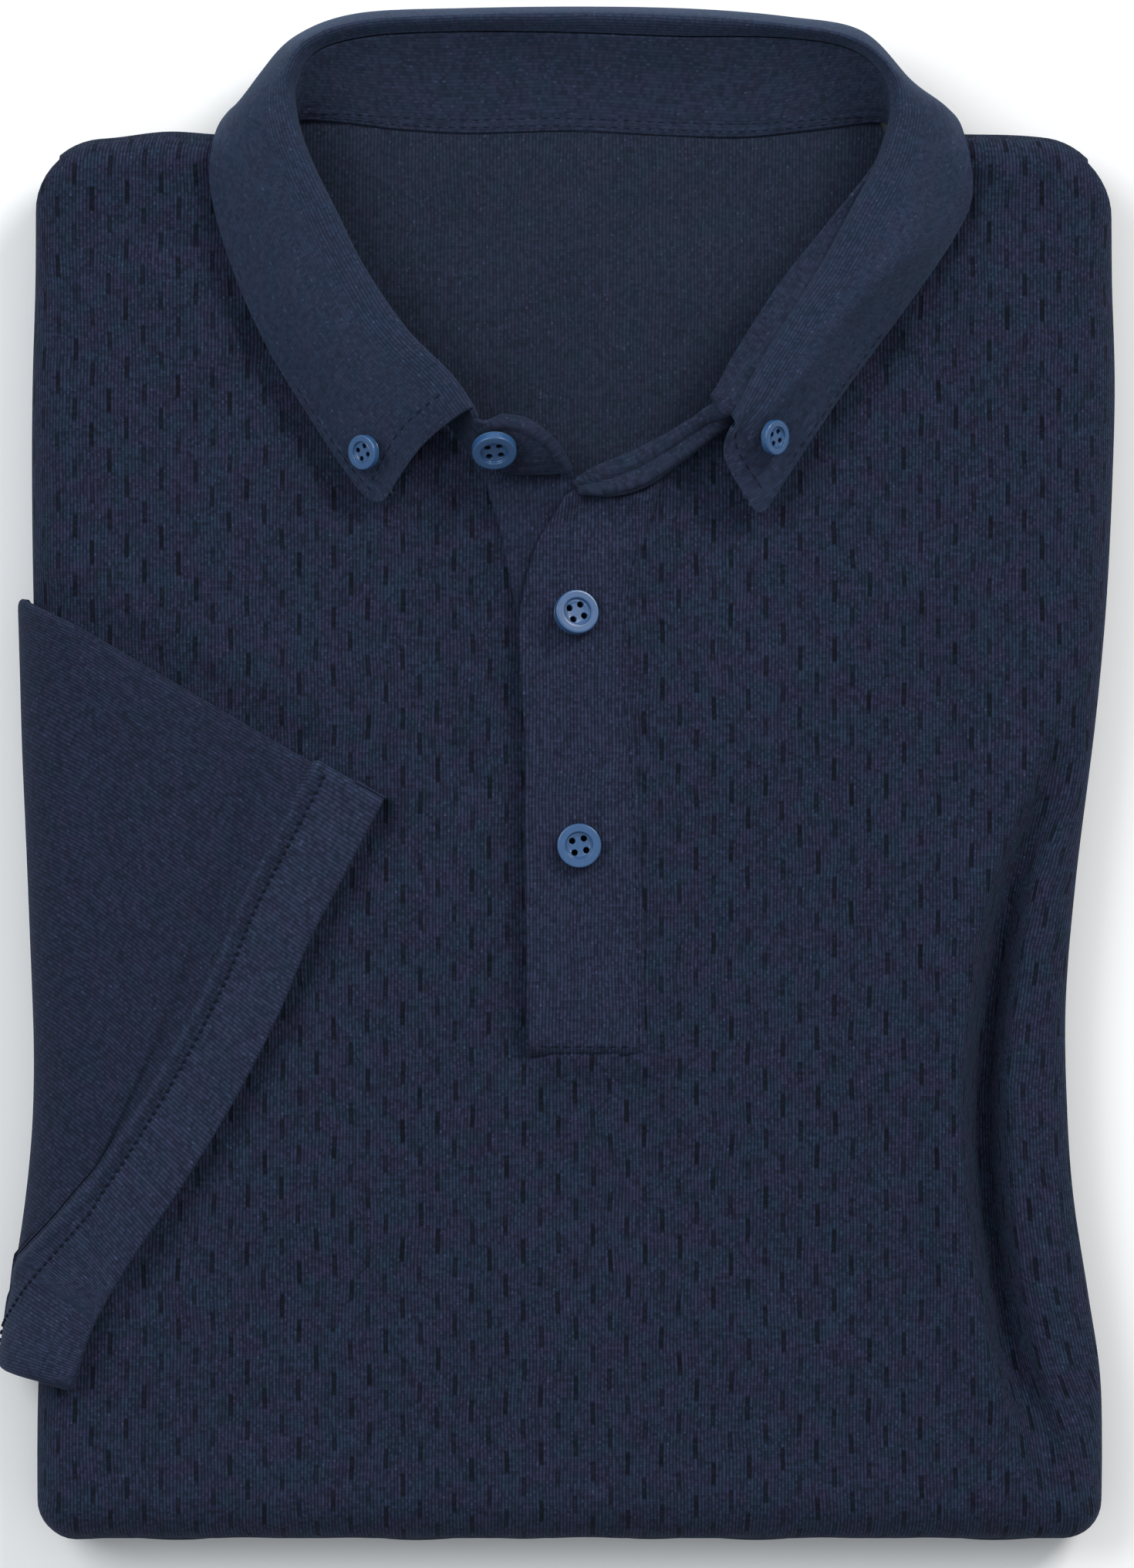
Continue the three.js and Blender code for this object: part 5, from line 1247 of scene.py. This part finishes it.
# The hem is a little wider than the sleeve, and stands out from its upper fold
layer_across = np.r_[across, across[::-1][1:-1], across[:1]]
stand_out = 1.5 * (1 - ramp(layer_across, 0, 0.14))[:, None] * ramp(from_ridge, -0.4, 1.6)
UP_ALONG_HEM = np.array([0.49, 0.87])
tube[..., :2] += stand_out[..., None] * UP_ALONG_HEM
tube_flat = flat_places(tube, line=ON_SLEEVE)
sleeve_part, hem_part = tube[:, : ON_SLEEVE + 1], tube[:, ON_SLEEVE:]
sleeve = cloth_mesh("sleeve_tube", sleeve_part, grid_faces(*sleeve_part.shape[:2]),
                    tube_flat[:, : ON_SLEEVE + 1], plain_jersey)
give_wall(sleeve, 0.9)
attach(sleeve, "root")
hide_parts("sleeve")

# At its end the hem turns in on half a circle and runs back inside
TURN_IN = 0.55
TURN_LINES = INSIDE_LINES = 6
hem_end = hem_part[:, -1]
outward = hem_end - hem_part[:, -2]
outward /= np.maximum(np.linalg.norm(outward, axis=1, keepdims=True), 1e-6)
into = np.where(upper_side, -1.0, 1.0) * np.array([0, 0, 1.0])
bends = np.linspace(0, np.pi, TURN_LINES + 1)[1:, None, None]
turned_in = hem_end + TURN_IN * (outward * np.sin(bends) + into * (1 - np.cos(bends)))
inside = turned_in[-1] - outward * np.linspace(0.5, 8, INSIDE_LINES)[:, None, None]
hem_grid = np.concatenate([hem_part, turned_in.transpose(1, 0, 2), inside.transpose(1, 0, 2)], 1)
turn_on = np.arange(1, TURN_LINES + INSIDE_LINES + 1) * 0.6
turned_flat = tube_flat[:, -1:] + np.stack([turn_on * 0, turn_on], -1)
hem_flat = np.concatenate([tube_flat[:, ON_SLEEVE:], turned_flat], 1)
# Painted light: a lighter copy of the plain jersey, for the light that the hem's raised fold catches
hem_jersey_painted_light = knit("hem_jersey_painted_light", (0.0155, 0.0238, 0.0468), (0.0180, 0.0222, 0.0470), wale=0.98,
                  course=0.82, relief=0.08, mottle=0.85, wales=0.6)
hem = cloth_mesh("sleeve_hem_fold", hem_grid, grid_faces(*hem_grid.shape[:2]), hem_flat, hem_jersey_painted_light)
give_wall(hem, 0.5)
# Its stitching lies proud of the cloth, on the upper layer from fold to fold
stitch_line = int(round((1 - HEM_SEWN / HEM_BAND) * ON_HEM))
along_hem = slice(6, len(across) - 6)
hem_up = grid_normals(hem_part)[along_hem, stitch_line]
sewn_on = hem_part[along_hem, stitch_line] + hem_up * 0.25
hem_stitches = stitches("hem_stitches", sewn_on, hem_up, 1.3, 0.9, 1.0)
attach(hem, "root")
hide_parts("sleeve_hem")

# Buttons
# Five moulded resin buttons with a raised rim, a dished middle and four holes, sewn on through a
# short shank of thread: two on the placket, one on the tab and one at each collar point.
# Each one's solid, its width, the gap to the cloth behind it, how far it leans towards +X and +Y and
# how far its holes are turned, in degrees
BUTTONS = (
    ("button_placket_1", 11.4, 1.3, (14, 9), 20),
    ("button_placket_2", 11.4, 0.5, (0, 0), 12),
    ("button_neck", 11.4, 0.4, (2, -46), 8),
    ("button_collar_left", 9.0, 2.7, (46, -8), 15),
    ("button_collar_right", 9.0, 1.7, (-38, -8), 30),
)
HOLE_OUT = 0.19
FACE_STARTS = 30


def from_holes(x, y, size, turn):
    """Distance from the middle of the nearest of the four holes, HOLE_OUT of the width from the axis."""
    holes = np.radians(turn + 45 + 90 * np.arange(4))[:, None, None]
    return np.hypot(x - size * HOLE_OUT * np.cos(holes), y - size * HOLE_OUT * np.sin(holes)).min(0)


def button_points(size, turn):
    """A disc turned about its axis, closed at both poles. Its face height is a smooth profile of the
    radius with a broad flat rim, a step down and a low ring round the holes, and it drops steeply
    within each of the four holes, so that they read as bored."""
    r = size / 2
    high = size * 0.21
    profile = np.array([
        (0, 0), (r - 0.5, 0), (r - 0.12, 0.14), (r, 0.5), (r, high * 0.55), (r - 0.03, high * 0.85),
        (r - 0.16, high * 0.96), (r - 0.45, high), (r * 0.8, high), (r * 0.66, high * 0.99),
        (r * 0.63, high * 0.93), (r * 0.6, high * 0.7), (r * 0.56, high * 0.64), (r * 0.5, high * 0.68),
        (r * 0.42, high * 0.62), (r * 0.24, high * 0.6), (r * 0.12, high * 0.6), (0, high * 0.6),
    ])
    fine = np.r_[np.linspace(0, 13, 66), np.linspace(13, 17, 50)[1:]]
    ring = curve(profile, fine)
    ring[:, 0] = np.clip(ring[:, 0], 0, r)
    ring[0, 0] = ring[-1, 0] = 0
    angle = np.linspace(0, 2 * np.pi, 129)[:-1]
    x, y = ring[:, :1] * np.cos(angle), ring[:, :1] * np.sin(angle)
    z = np.broadcast_to(ring[:, 1:], x.shape).copy()
    on_face = (np.arange(len(ring)) > FACE_STARTS)[:, None]
    z -= high * 0.56 * (1 - ramp(from_holes(x, y, size, turn), size * 0.058, size * 0.074)) * on_face
    return np.stack([x, y, z], -1)


def turned_points(points, lean_x, lean_y):
    """Turned by lean_x about Y and then by -lean_y about X, both in degrees."""
    a, b = np.radians(lean_x), np.radians(-lean_y)
    about_y = np.array([(np.cos(a), 0, np.sin(a)), (0, 1, 0), (-np.sin(a), 0, np.cos(a))])
    about_x = np.array([(1, 0, 0), (0, np.cos(b), -np.sin(b)), (0, np.sin(b), np.cos(b))])
    return points @ (about_x @ about_y).T


def resin(name, colour):
    """Blue resin with a pearly drift of lighter streaks on the button's own plan, kept as its UV in
    millimetres. Where it is bored it is almost black and dull, as no light reaches in."""
    material = bpy.data.materials.new(name)
    material.use_nodes = True
    tree = material.node_tree
    surface = tree.nodes["Principled BSDF"]
    shader(tree, "TexCoord")
    here = tree.nodes[-1].outputs["UV"]
    streak = noise(tree, here, 0.5, 3.0)
    lighter = tuple(min(c * 1.5, 1) for c in colour)
    mixed = shader(tree, "MixRGB", streak, (*colour, 1), (*lighter, 1))
    shader(tree, "Attribute", attribute_name="bored")
    bored = tree.nodes[-1].outputs["Fac"]
    darkened = shader(tree, "MixRGB", bored, mixed, (0.002, 0.003, 0.006, 1))
    tree.links.new(darkened, surface.inputs["Base Color"])
    open_face = maths(tree, "SUBTRACT", 1.0, bored)
    tree.links.new(maths(tree, "MULTIPLY", open_face, 0.45), surface.inputs["Specular IOR Level"])
    tree.links.new(maths(tree, "MULTIPLY", open_face, 0.4), surface.inputs["Coat Weight"])
    surface.inputs["Roughness"].default_value = 0.34
    surface.inputs["Coat Roughness"].default_value = 0.16
    return material


button_resin = resin("button_resin", (0.018, 0.060, 0.148))
for name, size, off, lean, turn in BUTTONS:
    low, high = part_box(name)
    centre = (np.array(low) + np.array(high)) / 2 / MM
    plan = button_points(size, turn)
    disc = turned_points(plan - [0, 0, size * 0.105], *lean) + centre
    faces = grid_faces(*disc.shape[:2], closed=True)
    piece = cloth_mesh(name + "_disc", disc, faces, plan[..., :2] + 40 * turn, button_resin)
    # The bored mask sets where the resin is painted near black and dull, as painted shade in the holes
    bored = 1 - ramp(from_holes(plan[..., 0], plan[..., 1], size, turn), size * 0.06, size * 0.08)
    bored = bored * (np.arange(len(plan)) > FACE_STARTS)[:, None]
    attribute = piece.data.attributes.new("bored", "FLOAT", "POINT")
    attribute.data.foreach_set("value", bored.astype(np.float32).ravel())
    close_poles(piece)
    # Its shank of thread runs from within the disc straight back to the cloth, with a slight waist
    shank_top = turned_points(np.array([[0.0, 0.0, -size * 0.1]]), *lean)[0] + centre
    shank_low = shank_top - turned_points(np.array([[0.0, 0.0, off + 1.0]]), *lean)[0]
    steps = np.linspace(0, 1, 5)[:, None]
    shank_line = shank_top + (shank_low - shank_top) * steps
    aside = np.tile(turned_points(np.array([[1.0, 0.0, 0.0]]), *lean), (5, 1))
    angle = np.linspace(0, 2 * np.pi, 13)[:-1]
    other = turned_points(np.array([[0.0, 1.0, 0.0]]), *lean)
    ring = aside[:, None] * np.cos(angle)[:, None] + other[None] * np.sin(angle)[:, None]
    waist = (1.15 + 0.25 * np.abs(steps - 0.5) * 2)[:, None]
    shank_points = shank_line[:, None] + ring * waist
    shank = cloth_mesh(name + "_shank", shank_points, grid_faces(5, 12, closed=True)[:, ::-1],
                       np.zeros((5, 12, 2)), thread)
    for made in (piece, shank):
        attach(made, "root")
    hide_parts(name)

# Surface and light
# The shirt lies on white paper, a bare stage that is no part of it. A broad soft window light comes
# from the head of the table on the wearer's left, and a weaker, broader one fills in from the other side.
paper = bpy.data.materials.new("white_paper")
paper.use_nodes = True
paper.node_tree.nodes["Principled BSDF"].inputs["Base Color"].default_value = (0.88, 0.882, 0.88, 1)
paper.node_tree.nodes["Principled BSDF"].inputs["Roughness"].default_value = 0.9
bpy.ops.mesh.primitive_plane_add(size=6, location=(0, 0, 0))
floor = bpy.context.object
floor.name = "floor"
floor.data.materials.append(paper)


def soft_light(name, place, width, power, colour):
    """A square area light that faces the middle of the table."""
    lamp = bpy.data.lights.new(name, "AREA")
    lamp.size = width
    lamp.energy = power
    lamp.color = colour
    holder = bpy.data.objects.new(name, lamp)
    bpy.context.scene.collection.objects.link(holder)
    holder.location = place
    holder.rotation_euler = (-Vector(place)).to_track_quat("-Z", "Y").to_euler()


soft_light("window", (1.8, 1.9, 2.0), 1.2, 72, (1.0, 0.985, 0.965))
soft_light("fill", (-1.9, 1.2, 2.3), 1.8, 56, (0.95, 0.975, 1.0))
world = bpy.data.worlds.new("studio")
world.use_nodes = True
sky = world.node_tree
sky.nodes["Background"].inputs[0].default_value = (0.93, 0.965, 1.0, 1)
shader(sky, "TexCoord")
shader(sky, "SeparateXYZ", sky.nodes[-1].outputs["Generated"])
# Brightest overhead and towards the head of the table, and dim at its foot
east, north, overhead = sky.nodes[-1].outputs
glow = maths(sky, "MULTIPLY_ADD", overhead, 0.34, 0.34)
glow = maths(sky, "MULTIPLY_ADD", north, 0.12, glow)
glow = maths(sky, "MAXIMUM", maths(sky, "MULTIPLY_ADD", east, -0.04, glow), 0.03)
sky.links.new(glow, sky.nodes["Background"].inputs[1])
bpy.context.scene.world = world
bpy.context.scene.view_settings.view_transform = "Standard"

# Camera
# It hangs straight over the bundle, 2 m above its front, where the frame is 406.6 mm high. From so far
# off the bundle's own sides stay out of sight, as they do in the photo.
CAMERA_X, CAMERA_Y = 2.26, -2.96
CAMERA_DISTANCE = 2000.0
CAMERA_LEVEL = 12.0
FRAME_HEIGHT = 406.6
SENSOR = 36.0
camera = bpy.data.objects.new("camera", bpy.data.cameras.new("camera"))
bpy.context.scene.collection.objects.link(camera)
camera.location = (CAMERA_X * MM, CAMERA_Y * MM, (CAMERA_DISTANCE + CAMERA_LEVEL) * MM)
camera.data.sensor_fit = "VERTICAL"
camera.data.sensor_height = SENSOR
camera.data.lens = SENSOR * CAMERA_DISTANCE / FRAME_HEIGHT
bpy.context.scene.camera = camera
